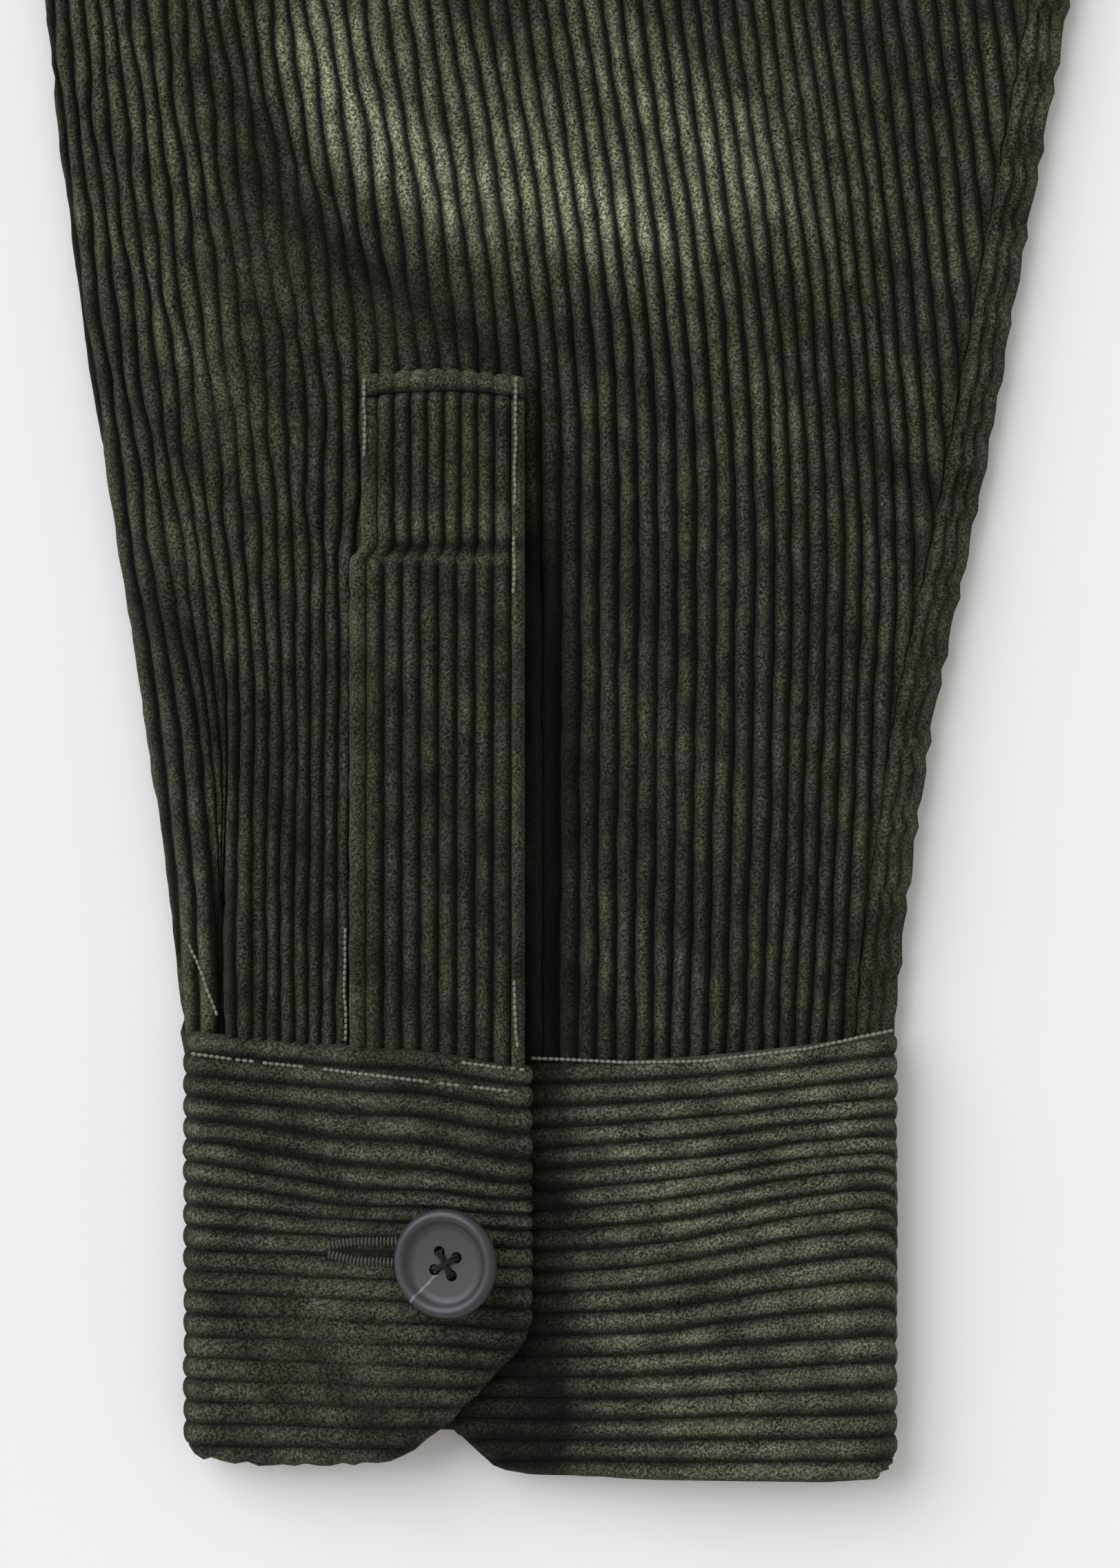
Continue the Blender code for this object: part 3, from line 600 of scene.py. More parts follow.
def sleeve_top_z(s, c):
    """Outer surface of the sleeve's upper layer, as on the solids."""
    inner, outer, top = sleeve_edges(s)
    place = sleeve_place(s, c)
    to_inner = np.hypot(inner - c, np.maximum(0.0, s - UNDERARM_S))
    round_off = rounding(to_inner, SLEEVE_ROUND) * rounding(c - outer, SLEEVE_ROUND)
    height = top + relief(place[..., 0], place[..., 1])
    return SLEEVE_EDGE_Z + (height - SLEEVE_EDGE_Z) * round_off


def cuff_seam_s(c):
    """The seam between cuff and sleeve sags in the middle."""
    share = np.clip(np.asarray(c, float) / CUFF_HALF, -1.0, 1.0)
    return CUFF_SEAM_LOW + CUFF_SEAM_RISE * share**2 + CUFF_SEAM_SLANT * share


def scye_bow(share, along):
    """How far a section bows from a straight line to follow the armhole, growing up the sleeve."""
    strength = ease(along, SCYE_BOW_START, UNDERARM_S)
    straight = armhole(0.0) + (armhole(1.0) - armhole(0.0)) * share[..., None]
    return (armhole(share) - straight) * strength[..., None]


# Meshes

SMOOTH = "GeometryNodeSetShadeSmooth"
REALIZE = "GeometryNodeRealizeInstances"


def add_object(name, data):
    """A new object in the scene."""
    obj = bpy.data.objects.new(name, data)
    bpy.context.scene.collection.objects.link(obj)
    return obj


def evaluated_mesh(obj):
    """The object's mesh with its modifiers applied."""
    bpy.context.view_layer.update()
    graph = bpy.context.evaluated_depsgraph_get()
    return bpy.data.meshes.new_from_object(obj.evaluated_get(graph))


def add_node(tree, kind, **settings):
    """A node with some of its properties set."""
    node = tree.nodes.new(kind)
    for key, value in settings.items():
        setattr(node, key, value)
    return node


def preset(node, **values):
    """Sets plain values on a node's inputs, which are named with an underscore for each space."""
    for key, value in values.items():
        node.inputs[key.replace("_", " ")].default_value = value
    return node


def new_tree(name, kind, inputs, outputs):
    """A node tree with named sockets, each with its label, kind and any value at the start."""
    tree = bpy.data.node_groups.new(name, kind)
    for way, sockets in (("INPUT", inputs), ("OUTPUT", outputs)):
        for label, socket_kind, *value in sockets:
            socket = tree.interface.new_socket(label, in_out=way, socket_type=socket_kind)
            if value:
                socket.default_value = value[0]
    return tree, add_node(tree, "NodeGroupInput"), add_node(tree, "NodeGroupOutput")


def geometry_tree(name, sizes, material):
    """A Geometry Nodes tree with named sizes and a material."""
    geometry = ("Geometry", "NodeSocketGeometry")
    floats = [(label, "NodeSocketFloat", value) for label, value in sizes]
    inputs = [geometry, *floats, (material, "NodeSocketMaterial")]
    return new_tree(name, "GeometryNodeTree", inputs, [geometry])


def finish_tree(tree, geometry, steps, material, result):
    """Takes geometry through the last nodes, gives it its material and sends it out."""
    for kind in (*steps, "GeometryNodeSetMaterial"):
        node = add_node(tree, kind)
        tree.links.new(geometry, node.inputs["Geometry"])
        geometry = node.outputs["Geometry"]
    tree.links.new(material, node.inputs["Material"])
    tree.links.new(geometry, result.inputs["Geometry"])


def maths(tree, operation, first, second=None):
    """A math node on two values, each a socket or a number. Returns its output."""
    node = add_node(tree, "ShaderNodeMath", operation=operation)
    for place, value in enumerate((first, second)):
        if value is None:
            continue
        if isinstance(value, (int, float)):
            node.inputs[place].default_value = value
        else:
            tree.links.new(value, node.inputs[place])
    return node.outputs[0]


def named_attribute(tree, label):
    """A point attribute of the mesh, as a float."""
    node = add_node(tree, "GeometryNodeInputNamedAttribute", data_type="FLOAT")
    return preset(node, Name=label).outputs["Attribute"]


def wale_tree():
    """Raises the cloth into wales along the attribute wale, and keeps, as the attribute pile, how high
    the pile stands, with painted shade on one flank of each ridge and painted light on the other.
    """
    sizes = (
        ("Ridge Height", RIDGE * MM), ("Ridge Squareness", 1.6), ("Unevenness", 0.8),
        ("Lean", PILE_FLANK_SHADE), ("Uneven Scale", 260.0),
    )
    tree, given, result = geometry_tree("raise_wales", sizes, "Cloth")
    do = partial(maths, tree)
    merge = preset(add_node(tree, "GeometryNodeMergeByDistance"), Distance=0.000002)
    rib = named_attribute(tree, "rib")
    phase = do("FRACT", named_attribute(tree, "wale"))
    from_crest = do("SUBTRACT", phase, 0.5)
    off_crest = do("MULTIPLY", do("ABSOLUTE", from_crest), 2.0)
    fall = do("POWER", off_crest, given.outputs["Ridge Squareness"])
    crest = do("POWER", do("MAXIMUM", do("SUBTRACT", 1.0, fall), 0.0), 0.75)
    pile = do("MULTIPLY", crest, rib)
    noise = preset(add_node(tree, "ShaderNodeTexNoise", noise_dimensions="3D"), Detail=2.0)
    sway = do("MULTIPLY", do("SUBTRACT", noise.outputs[0], 0.5), given.outputs["Unevenness"])
    lift = do("MULTIPLY", do("ADD", pile, do("MULTIPLY", pile, sway)), given.outputs["Ridge Height"])
    # Painted shade in the grooves: where a ridge falls away the pile value falls, and the colour goes
    # towards the groove shade
    sunk = do("MULTIPLY", do("SUBTRACT", 1.0, crest), rib)
    # Painted shade on one flank of each ridge and painted light on the other, as the light falls across
    # the wales
    lean = do("MULTIPLY", do("MULTIPLY", from_crest, given.outputs["Lean"]), rib)
    normal = add_node(tree, "GeometryNodeInputNormal")
    offset = add_node(tree, "ShaderNodeVectorMath", operation="SCALE")
    move = add_node(tree, "GeometryNodeSetPosition")
    keep = add_node(tree, "GeometryNodeStoreNamedAttribute", data_type="FLOAT", domain="POINT")
    preset(keep, Name="pile")
    link = tree.links.new
    link(given.outputs["Uneven Scale"], noise.inputs["Scale"])
    link(given.outputs["Geometry"], merge.inputs["Geometry"])
    link(merge.outputs["Geometry"], keep.inputs["Geometry"])
    link(do("SUBTRACT", 1.0, do("ADD", sunk, lean)), keep.inputs["Value"])
    link(keep.outputs["Geometry"], move.inputs["Geometry"])
    link(normal.outputs["Normal"], offset.inputs[0])
    link(lift, offset.inputs["Scale"])
    link(offset.outputs["Vector"], move.inputs["Offset"])
    finish_tree(tree, move.outputs["Geometry"], (SMOOTH, REALIZE), given.outputs["Cloth"], result)
    return tree


def stitch_tree():
    """Lays a stitch along each line at an even pitch. Its width is level and square to the line."""
    sizes = (
        ("Pitch", 0.003), ("Stitch Length", 0.0024), ("Stitch Width", 0.0006), ("Stitch Height", 0.0006),
    )
    tree, given, result = geometry_tree("sew_stitches", sizes, "Thread")
    line = add_node(tree, "GeometryNodeMeshToCurve")
    level = add_node(tree, "GeometryNodeSetCurveNormal", mode="Z_UP")
    points = add_node(tree, "GeometryNodeCurveToPoints", mode="LENGTH")
    bead = preset(add_node(tree, "GeometryNodeMeshUVSphere"), Segments=6, Rings=4, Radius=0.5)
    place = add_node(tree, "GeometryNodeInstanceOnPoints")
    size = add_node(tree, "ShaderNodeCombineXYZ")
    link = tree.links.new
    link(given.outputs["Geometry"], line.inputs["Mesh"])
    link(line.outputs["Curve"], level.inputs["Curve"])
    link(level.outputs["Curve"], points.inputs["Curve"])
    link(given.outputs["Pitch"], points.inputs["Length"])
    link(points.outputs["Points"], place.inputs["Points"])
    link(bead.outputs["Mesh"], place.inputs["Instance"])
    link(points.outputs["Rotation"], place.inputs["Rotation"])
    for axis, label in (("X", "Stitch Width"), ("Y", "Stitch Height"), ("Z", "Stitch Length")):
        link(given.outputs[label], size.inputs[axis])
    link(size.outputs["Vector"], place.inputs["Scale"])
    finish_tree(tree, place.outputs["Instances"], (REALIZE, SMOOTH), given.outputs["Thread"], result)
    return tree


def cord_tree():
    """Lays a round thread along each line."""
    tree, given, result = geometry_tree("lay_thread", (("Thickness", 0.0005),), "Thread")
    line = add_node(tree, "GeometryNodeMeshToCurve")
    ring = preset(add_node(tree, "GeometryNodeCurvePrimitiveCircle"), Resolution=7)
    tube = preset(add_node(tree, "GeometryNodeCurveToMesh"), Fill_Caps=True)
    link = tree.links.new
    link(given.outputs["Geometry"], line.inputs["Mesh"])
    link(line.outputs["Curve"], tube.inputs["Curve"])
    link(maths(tree, "MULTIPLY", given.outputs["Thickness"], 0.5), ring.inputs["Radius"])
    link(ring.outputs["Curve"], tube.inputs["Profile Curve"])
    finish_tree(tree, tube.outputs["Mesh"], (SMOOTH, REALIZE), given.outputs["Thread"], result)
    return tree


def apply_tree(obj, tree, **values):
    """Runs a Geometry Nodes tree on an object and returns the result as a plain mesh object."""
    modifier = obj.modifiers.new(tree.name, "NODES")
    modifier.node_group = tree
    for item in tree.interface.items_tree:
        key = item.name.replace(" ", "_").lower()
        if item.in_out == "INPUT" and key in values:
            modifier[item.identifier] = values[key]
    mesh = evaluated_mesh(obj)
    name = obj.name
    bpy.data.objects.remove(obj)
    mesh.name = name
    return add_object(name, mesh)


def to_metres(points, side):
    """Millimetres in garment coordinates, for the right side, to metres in the frame."""
    points = np.array(points, float)
    points[..., 0] *= side
    points[..., 1] -= OVERALL_LENGTH / 2.0
    return points * MM


def flat_area(points):
    """Area of a grid of points, in square metres."""
    one = points[1:, :-1] - points[:-1, :-1]
    two = points[:-1, 1:] - points[:-1, :-1]
    three = points[1:, :-1] - points[1:, 1:]
    four = points[:-1, 1:] - points[1:, 1:]
    lower = np.linalg.norm(np.cross(one, two), axis=-1)
    upper = np.linalg.norm(np.cross(three, four), axis=-1)
    return float((lower + upper).sum() / 2.0)


class Cloth:
    """Grids of one piece of cloth, gathered before its mesh is made."""

    def __init__(self, node, side):
        self.node = node
        self.side = side
        self.points = []
        self.faces = []
        self.values = {"wale": [], "rib": [], "nap": []}
        self.count = 0
        self.area = 0.0

    def add(self, points, wale, rib, nap, flip=False, cut=True):
        """Adds a grid of points. Its outer side is up if its rows run up and its columns right."""
        rows, columns = points.shape[:2]
        placed = to_metres(points, self.side)
        index = self.count + np.arange(rows * columns).reshape(rows, columns)
        corners = [index[:-1, :-1], index[:-1, 1:], index[1:, 1:], index[1:, :-1]]
        if flip != (self.side < 0):
            corners = corners[::-1]
        self.faces.append(np.stack(corners, axis=-1).reshape(-1, 4))
        self.points.append(placed.reshape(-1, 3))
        for label, value in (("wale", wale), ("rib", rib), ("nap", nap)):
            self.values[label].append(np.broadcast_to(value, (rows, columns)).ravel())
        self.count += rows * columns
        if cut:
            self.area += flat_area(placed)

    def add_slab(self, middle, out, from_edge, reach, half, wale, rib, nap):
        """Adds both sides of a flat piece round its middle surface. Its edges are rounded off."""
        swell = (half * rounding(from_edge, reach))[..., None]
        self.add(middle + out * swell, wale, rib, nap)
        self.add(middle - out * swell, wale, 0.0, nap, flip=True, cut=False)

    def build(self, cloth, ridge=RIDGE, shell=0.0, lean=PILE_FLANK_SHADE):
        """Makes the mesh, raises its wales, and gives it a wall if it is open."""
        mesh = bpy.data.meshes.new(f"{self.node}_cloth")
        points = np.concatenate(self.points)
        faces = np.concatenate(self.faces)
        mesh.from_pydata(points.tolist(), [], faces.tolist())
        for label, value in self.values.items():
            layer = mesh.attributes.new(label, "FLOAT", "POINT")
            layer.data.foreach_set("value", np.concatenate(value).astype(np.float32))
        obj = add_object(f"{self.node}_cloth", mesh)
        made = apply_tree(obj, WALES, ridge_height=ridge * MM, cloth=cloth, lean=lean)
        if shell:
            wall = made.modifiers.new("wall", "SOLIDIFY")
            wall.thickness = shell * MM
            wall.offset = -1.0
        return made


def declare(obj, piece):
    """Rides a piece of cloth on the frame, and stands it for its solid."""
    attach(obj, "root")
    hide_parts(piece.node)


def wale_numbers(first, last, phases):
    """Places across, in wales, from the first to the last, with the phases that shape each ridge."""
    whole = np.arange(math.floor(first), math.ceil(last) + 1)
    every = (whole[:, None] + np.array(phases)[None, :]).ravel()
    inside = every[(every > first + 0.02) & (every < last - 0.02)]
    return np.concatenate([[first], inside, [last]])


# Materials


def pile_group():
    """Colour and fine relief of corduroy: painted shade in the grooves, painted light and shade carried
    with the nap, randomly brushed patches, speckled pile.
    """
    colour, number = "NodeSocketColor", "NodeSocketFloat"
    inputs = (
        ("Tip", colour, (*PILE_TIP, 1.0)), ("Deep", colour, (*PILE_GROOVE_SHADE, 1.0)), ("Pile", number, 1.0),
        ("Nap", number, 0.0), ("Place", "NodeSocketVector"), ("Fibre Scale", number, 2300.0),
        ("Brushed Scale", number, 210.0), ("Speckle", number, 11.0), ("Tip Scale", number, 2100.0),
    )
    outputs = (("Color", colour), ("Height", number))
    tree, given, result = new_tree("corduroy_pile", "ShaderNodeTree", inputs, outputs)
    link = tree.links.new
    do = partial(maths, tree)
    fibre = preset(add_node(tree, "ShaderNodeTexNoise"), Detail=3.0, Roughness=0.8)
    brushed = preset(add_node(tree, "ShaderNodeTexNoise"), Detail=2.0)
    tips = preset(add_node(tree, "ShaderNodeTexNoise"), Detail=1.0)
    for noise, scale in ((fibre, "Fibre Scale"), (brushed, "Brushed Scale"), (tips, "Tip Scale")):
        link(given.outputs["Place"], noise.inputs["Vector"])
        link(given.outputs[scale], noise.inputs["Scale"])
    # Painted shade in the grooves: the lower the pile value, the nearer the colour comes to the groove
    # shade colour
    depth = do("POWER", do("MAXIMUM", given.outputs["Pile"], 0.0), 2.4)
    shade = add_node(tree, "ShaderNodeMix", data_type="RGBA")
    link(depth, shade.inputs["Factor"])
    link(given.outputs["Deep"], shade.inputs["A"])
    link(given.outputs["Tip"], shade.inputs["B"])
    grain = do("MULTIPLY", do("SUBTRACT", fibre.outputs[0], 0.5), given.outputs["Speckle"])
    grain = do("MINIMUM", do("MAXIMUM", grain, -0.7), 1.3)
    bright_tip = do("MAXIMUM", do("SUBTRACT", tips.outputs[0], 0.62), 0.0)
    grain = do("ADD", grain, do("MULTIPLY", bright_tip, 9.0))
    patch = do("MULTIPLY", do("SUBTRACT", brushed.outputs[0], 0.5), 1.1)
    # Lighter or darker by the mesh's nap and painted light value: random nap, painted highlights and
    # painted shade
    lay = do("ADD", 1.0, given.outputs["Nap"])
    gain = do("MULTIPLY", lay, do("ADD", 1.0, do("ADD", grain, patch)))
    lit = add_node(tree, "ShaderNodeVectorMath", operation="SCALE")
    link(shade.outputs["Result"], lit.inputs[0])
    link(do("MAXIMUM", gain, 0.05), lit.inputs["Scale"])
    link(lit.outputs["Vector"], result.inputs["Color"])
    link(fibre.outputs[0], result.inputs["Height"])
    return tree


def mesh_value(tree, label):
    """An attribute of the mesh as a shader value."""
    return add_node(tree, "ShaderNodeAttribute", attribute_name=label).outputs["Fac"]


def principled(name, roughness, sheen=0.0, specular=0.5):
    """A material with its Principled shader's plain values set."""
    material = bpy.data.materials.new(name)
    material.use_nodes = True
    shader = material.node_tree.nodes["Principled BSDF"]
    shader.inputs["Roughness"].default_value = roughness
    shader.inputs["Sheen Weight"].default_value = sheen
    shader.inputs["Sheen Roughness"].default_value = 0.45
    shader.inputs["Specular IOR Level"].default_value = specular
    return material, shader


def corduroy(name, tip, deep):
    """The pile cloth, with the colour of its tips and the painted shade of its grooves."""
    material, shader = principled(name, 0.92, sheen=0.1, specular=0.1)
    shader.inputs["Sheen Tint"].default_value = (0.62, 0.64, 0.5, 1.0)
    tree = material.node_tree
    link = tree.links.new
    pile = preset(add_node(tree, "ShaderNodeGroup", node_tree=PILE), Tip=(*tip, 1.0), Deep=(*deep, 1.0))
    place = add_node(tree, "ShaderNodeTexCoord")
    bump = preset(add_node(tree, "ShaderNodeBump"), Strength=1.0, Distance=0.0005)
    link(mesh_value(tree, "pile"), pile.inputs["Pile"])
    link(mesh_value(tree, "nap"), pile.inputs["Nap"])
    link(place.outputs["Object"], pile.inputs["Place"])
    link(pile.outputs["Color"], shader.inputs["Base Color"])
    link(pile.outputs["Height"], bump.inputs["Height"])
    link(bump.outputs["Normal"], shader.inputs["Normal"])
    return material


def thread(name, colour):
    """Cotton thread, a little uneven in colour."""
    material, shader = principled(name, 0.85, sheen=0.1, specular=0.2)
    tree = material.node_tree
    link = tree.links.new
    place = add_node(tree, "ShaderNodeTexCoord")
    noise = preset(add_node(tree, "ShaderNodeTexNoise"), Scale=900.0)
    dark, pale = ((*(share * part for part in colour), 1.0) for share in (0.45, 1.45))
    ramp = preset(add_node(tree, "ShaderNodeMix", data_type="RGBA"), A=dark, B=pale)
    link(place.outputs["Object"], noise.inputs["Vector"])
    link(noise.outputs[0], ramp.inputs["Factor"])
    link(ramp.outputs["Result"], shader.inputs["Base Color"])
    return material


def horn():
    """Satin button material: grey-blue with fine grain and a pale vein on the face."""
    material, shader = principled("button_horn", 0.42, specular=0.5)
    tree = material.node_tree
    link = tree.links.new
    do = partial(maths, tree)
    place = add_node(tree, "ShaderNodeUVMap", uv_map="button")
    stretch = preset(add_node(tree, "ShaderNodeMapping"), Scale=(9.0, 1.2, 1.0))
    noise = preset(add_node(tree, "ShaderNodeTexNoise"), Scale=1.6, Detail=5.0)
    tint = add_node(tree, "ShaderNodeMix", data_type="RGBA")
    tint = preset(tint, A=(*RIM_GREY, 1.0), B=(*FACE_GREY, 1.0))
    vein = preset(add_node(tree, "ShaderNodeMix", data_type="RGBA"), B=(*VEIN_GREY, 1.0))
    split = add_node(tree, "ShaderNodeSeparateXYZ")
    link(place.outputs["UV"], stretch.inputs["Vector"])
    link(stretch.outputs["Vector"], noise.inputs["Vector"])
    link(place.outputs["UV"], split.inputs["Vector"])
    line = do("ADD", split.outputs["X"], do("MULTIPLY", split.outputs["Y"], -0.5))
    line = do("ADD", line, do("MULTIPLY", do("SUBTRACT", noise.outputs[0], 0.5), 0.12))
    thin = do("SUBTRACT", 1.0, do("DIVIDE", do("ABSOLUTE", line), 0.035))
    low = do("MULTIPLY", do("LESS_THAN", split.outputs["Y"], -0.22), do("MAXIMUM", thin, 0.0))
    link(noise.outputs[0], tint.inputs["Factor"])
    link(tint.outputs["Result"], vein.inputs["A"])
    link(do("MULTIPLY", low, 0.8), vein.inputs["Factor"])
    link(vein.outputs["Result"], shader.inputs["Base Color"])
    link(do("ADD", 0.32, do("MULTIPLY", noise.outputs[0], 0.22)), shader.inputs["Roughness"])
    return material


WALES = wale_tree()
STITCHES = stitch_tree()
THREADS = cord_tree()
PILE = pile_group()
SLEEVE_CLOTH = corduroy("corduroy_sleeve", PILE_TIP, PILE_GROOVE_SHADE)
# The cuff's copy of the corduroy, painted lighter than the sleeve's
CUFF_CLOTH_PAINTED_LIGHTER = corduroy("corduroy_cuff", CUFF_TIP_PAINTED_LIGHTER, CUFF_GROOVE_SHADE)
BODY_CLOTH = corduroy("corduroy_body", PILE_TIP, PILE_GROOVE_SHADE)
GROUND_WEAVE = thread("bare_ground_weave", GROUND)
SEWING = thread("sewing_thread", THREAD)
SLIT = thread("slit_shade", SLIT_DARK)
HOLE_SEWING = thread("buttonhole_thread", HOLE_THREAD)
BUTTON_SEWING = thread("button_thread", BUTTON_THREAD)
BUTTON = horn()


# Sleeves


def flow_across(wale, s):
    """Across position of each wale at s: the wales fan out from the cuff and the tuck."""
    rows = np.asarray(FLOW_ROWS, float)
    anchors = []
    for column in rows[:, 1:].T:
        near = [np.interp(s + step, rows[:, 0], column) for step in FLOW_BLUR]
        anchors.append(sum(near) / len(FLOW_BLUR))
    across = np.array(anchors[0])
    last = len(FLOW_WALES) - 1
    for place in range(last):
        low, high = FLOW_WALES[place], FLOW_WALES[place + 1]
        share = (wale - low) / (high - low)
        part = anchors[place] + (anchors[place + 1] - anchors[place]) * share
        inside = (wale >= low) if place else (wale > -999.0)
        across = np.where(inside, part, across)
    return np.where(wale > FLOW_WALES[-1], anchors[-1] + (wale - FLOW_WALES[-1]) * WALE, across)


def sleeve_rows(end_step, rest_step):
    """Sections of the sleeve, close together near the cuff."""
    dense = through(np.vstack([SLEEVE_SECTIONS, ARMHOLE_ROW]), DENSE_SECTIONS)
    reach = reach_along(dense[:, [0, 2]]) / math.sqrt(2.0)
    near = np.arange(0.0, FINE_LENGTH, end_step)
    far = np.linspace(FINE_LENGTH, reach[-1], int((reach[-1] - FINE_LENGTH) / rest_step))
    end = reach[-1] - np.array([5.0, 3.2, 1.8, 0.8, 0.0])
    wanted = np.concatenate([near, far[far < end[0] - 1.0], end])
    return np.stack([np.interp(wanted, reach, dense[:, column]) for column in range(5)], axis=-1)


def section_ends(rows):
    """Columns of sleeve sections: along and across at the inner edge, then at the outer edge."""
    return [rows[:, [column]] for column in range(4)]


def sleeve_points(rows, share, upper):
    """Points of the sleeve's upper or lower layer, for shares across from its inner edge."""
    in_s, in_c, out_s, out_c = section_ends(rows)
    s = in_s + (out_s - in_s) * share
    c = in_c + (out_c - in_c) * share
    hang = np.maximum(0.0, 1.0 - (in_s - SLEEVE_START) / CUFF_SEAM_REACH)
    s = s + (cuff_seam_s(c) - SLEEVE_START) * hang - TUCKED_IN * (in_s == SLEEVE_START)
    plan = sleeve_place(s, c) + scye_bow(share, np.broadcast_to(in_s, share.shape))
    plan[..., 0] += ARMHOLE_TUCK * (in_s >= UNDERARM_S - 0.01)
    from_edge = np.minimum(share, 1.0 - share) * (in_c - out_c)
    if upper:
        z = sleeve_top_z(s, c) + crease_relief(s, c) * rounding(from_edge, 6.0)
        z = z - 0.5 * RIDGE * rounding(from_edge, 3.0)
        z = ARMHOLE_Z + (z - ARMHOLE_Z) * rounding(UNDERARM_S - in_s, ARMHOLE_ROUND)
    else:
        low = RIDGE + 0.1
        z = low + (SLEEVE_EDGE_Z - low) * (1.0 - rounding(from_edge, SLEEVE_UNDER_ROUND))
    return np.concatenate([plan, z[..., None]], axis=-1), s, c


def share_of_wales(rows, wales, seam):
    """Shares across for each wale on each section. Past the seam or the fold a wale is cut off."""
    in_s, in_c, out_s, out_c = section_ends(rows)
    share = np.full((len(rows), len(wales)), 0.5)
    width = in_c - out_c
    for _ in range(5):
        s = in_s + (out_s - in_s) * np.clip(share, 0.0, 1.0)
        share = (in_c - flow_across(np.broadcast_to(wales, share.shape), s)) / width
    # Further up the sleeve, and left of the middle, the wales wander more
    pinch = ease(s, 130.0, 170.0) * ease(share * width - in_c, 4.0, 36.0)
    wander = (0.2 + 0.36 * pinch) * uneven(in_s, wales[None, :] * 0.61, 37.0, 1.3)
    wander = wander + 0.14 * uneven(in_s, wales[None, :] * 1.9, 9.0, 0.3)
    return np.clip(share + wander / width, seam / width, 1.0)


def add_upper(piece, rows, phases, pucker):
    """The ribbed upper layer, from the seam to the outer fold. Returns its nap and painted light at the
    seam.
    """
    in_s, in_c, _, out_c = section_ends(rows)
    seam = WELT + 0.35 * pucker
    wales = wale_numbers(FIRST_WALE, LAST_WALE, phases)[::-1]
    share = share_of_wales(rows, wales, seam)
    points, s, c = sleeve_points(rows, share, True)
    to_seam = share * (in_c - out_c) - seam
    at_armhole = ease(UNDERARM_S - in_s, 0.0, 1.2)
    at_cuff = ease(in_s - SLEEVE_START, 0.0, 2.5)
    rib = rounding(np.clip(to_seam, 0.0, 99.0), 1.6) * (0.25 + 0.75 * at_armhole)
    rib = rib * (0.35 + 0.65 * at_cuff) * sleeve_wear(s, c)
    points[..., 2] -= 1.2 * (1.0 - at_cuff) + 0.9 * np.exp(-((to_seam / 0.9) ** 2))
    points[..., 2] += 0.45 * pucker * np.exp(-to_seam / 5.0)
    nap = (1.0 + sleeve_nap_and_painted_light(s, c)) * (1.0 + wale_nap(wales[None, :], s)) - 1.0
    piece.add(points[:, ::-1], wales[None, ::-1], rib[:, ::-1], nap[:, ::-1])
    return nap[:, :1]


def add_seam(piece, rows, pucker, nap):
    """The felled seam, puckered and rolled along the inner edge. Returns its outer edge."""
    in_s, in_c, _, out_c = section_ends(rows)
    strip = np.linspace(1.0, 0.0, SEAM_COLUMNS)
    share = strip[None, :] * (WELT + 0.35 * pucker) / (in_c - out_c)
    points, _, _ = sleeve_points(rows, share, True)
    seam_z = points[:, 0, 2].copy()
    roll = np.sin(math.pi * strip)[None, :] ** 0.6
    bulge = ((strip < 0.7) * (1.0 - strip))[None, :] * (0.25 + 0.55 * pucker)
    points[..., 0] += bulge * np.cos(sleeve_turn(in_s))
    points[..., 1] -= bulge * np.sin(sleeve_turn(in_s))
    points[..., 2] += roll * (0.9 + 0.5 * pucker)
    points[:, 0, 2] = seam_z - 0.9 + 0.45 * pucker[:, 0]
    twist = WELT_WALES * strip[None, :] + 0.3 * pucker
    piece.add(points[:, ::-1], twist[:, ::-1], 0.85 * roll[:, ::-1], nap + 0.15)
    return points[:, -1]


def add_under(piece, rows, edge):
    """The lower layer, joined to the seam's outer edge."""
    _, in_c, _, out_c = section_ends(rows)
    wales = wale_numbers(FIRST_WALE, LAST_WALE, UNDER_PHASES)[::-1]
    share = share_of_wales(rows, wales, 0.0)
    points, _, _ = sleeve_points(rows, share, False)
    points[:, 0] = edge
    rib = rounding(np.minimum(share, 1.0 - share) * (in_c - out_c), 4.0)
    piece.add(points[:, ::-1], wales[None, ::-1], rib[:, ::-1], 0.0, flip=True)


def make_sleeve(node, side, phases, end_step, rest_step):
    """One tube of cloth pressed flat, with its felled seam along the inner edge."""
    rows = sleeve_rows(end_step, rest_step)
    pucker = uneven(rows[:, [0]], 0.0, PUCKER_PITCH, 0.7)
    piece = Cloth(node, side)
    nap = add_upper(piece, rows, phases, pucker)
    edge = add_seam(piece, rows, pucker, nap)
    add_under(piece, rows, edge)
    declare(piece.build(SLEEVE_CLOTH), piece)


make_sleeve("sleeve_right", 1, FINE_PHASES, 2.4, 9.0)
make_sleeve("sleeve_left", -1, PLAIN_PHASES, 5.0, 14.0)


# Cuffs


def lap_low(c):
    """Lower outline of the cuff's outer end."""
    return np.interp(c, *LAP_OUTLINE)


def underlap_low(c):
    """Lower outline of the cuff's inner end."""
    return np.interp(c, *UNDERLAP_OUTLINE)


def lap_z(c):
    """Height of the middle of the cuff's outer end, which rises over the inner end."""
    return LAP_Z + END_RISE * ease(c, -40.0, -24.0)


def lay_z(c):
    """Height of the middle of the cuff's inner end."""
    return LAY_Z + END_RISE * ease(c, 2.0, 24.0)


def arc(from_turn, to_turn, count):
    """Even turns between two angles in degrees, without the ends."""
    return np.radians(np.linspace(from_turn, to_turn, count + 2)[1:-1])


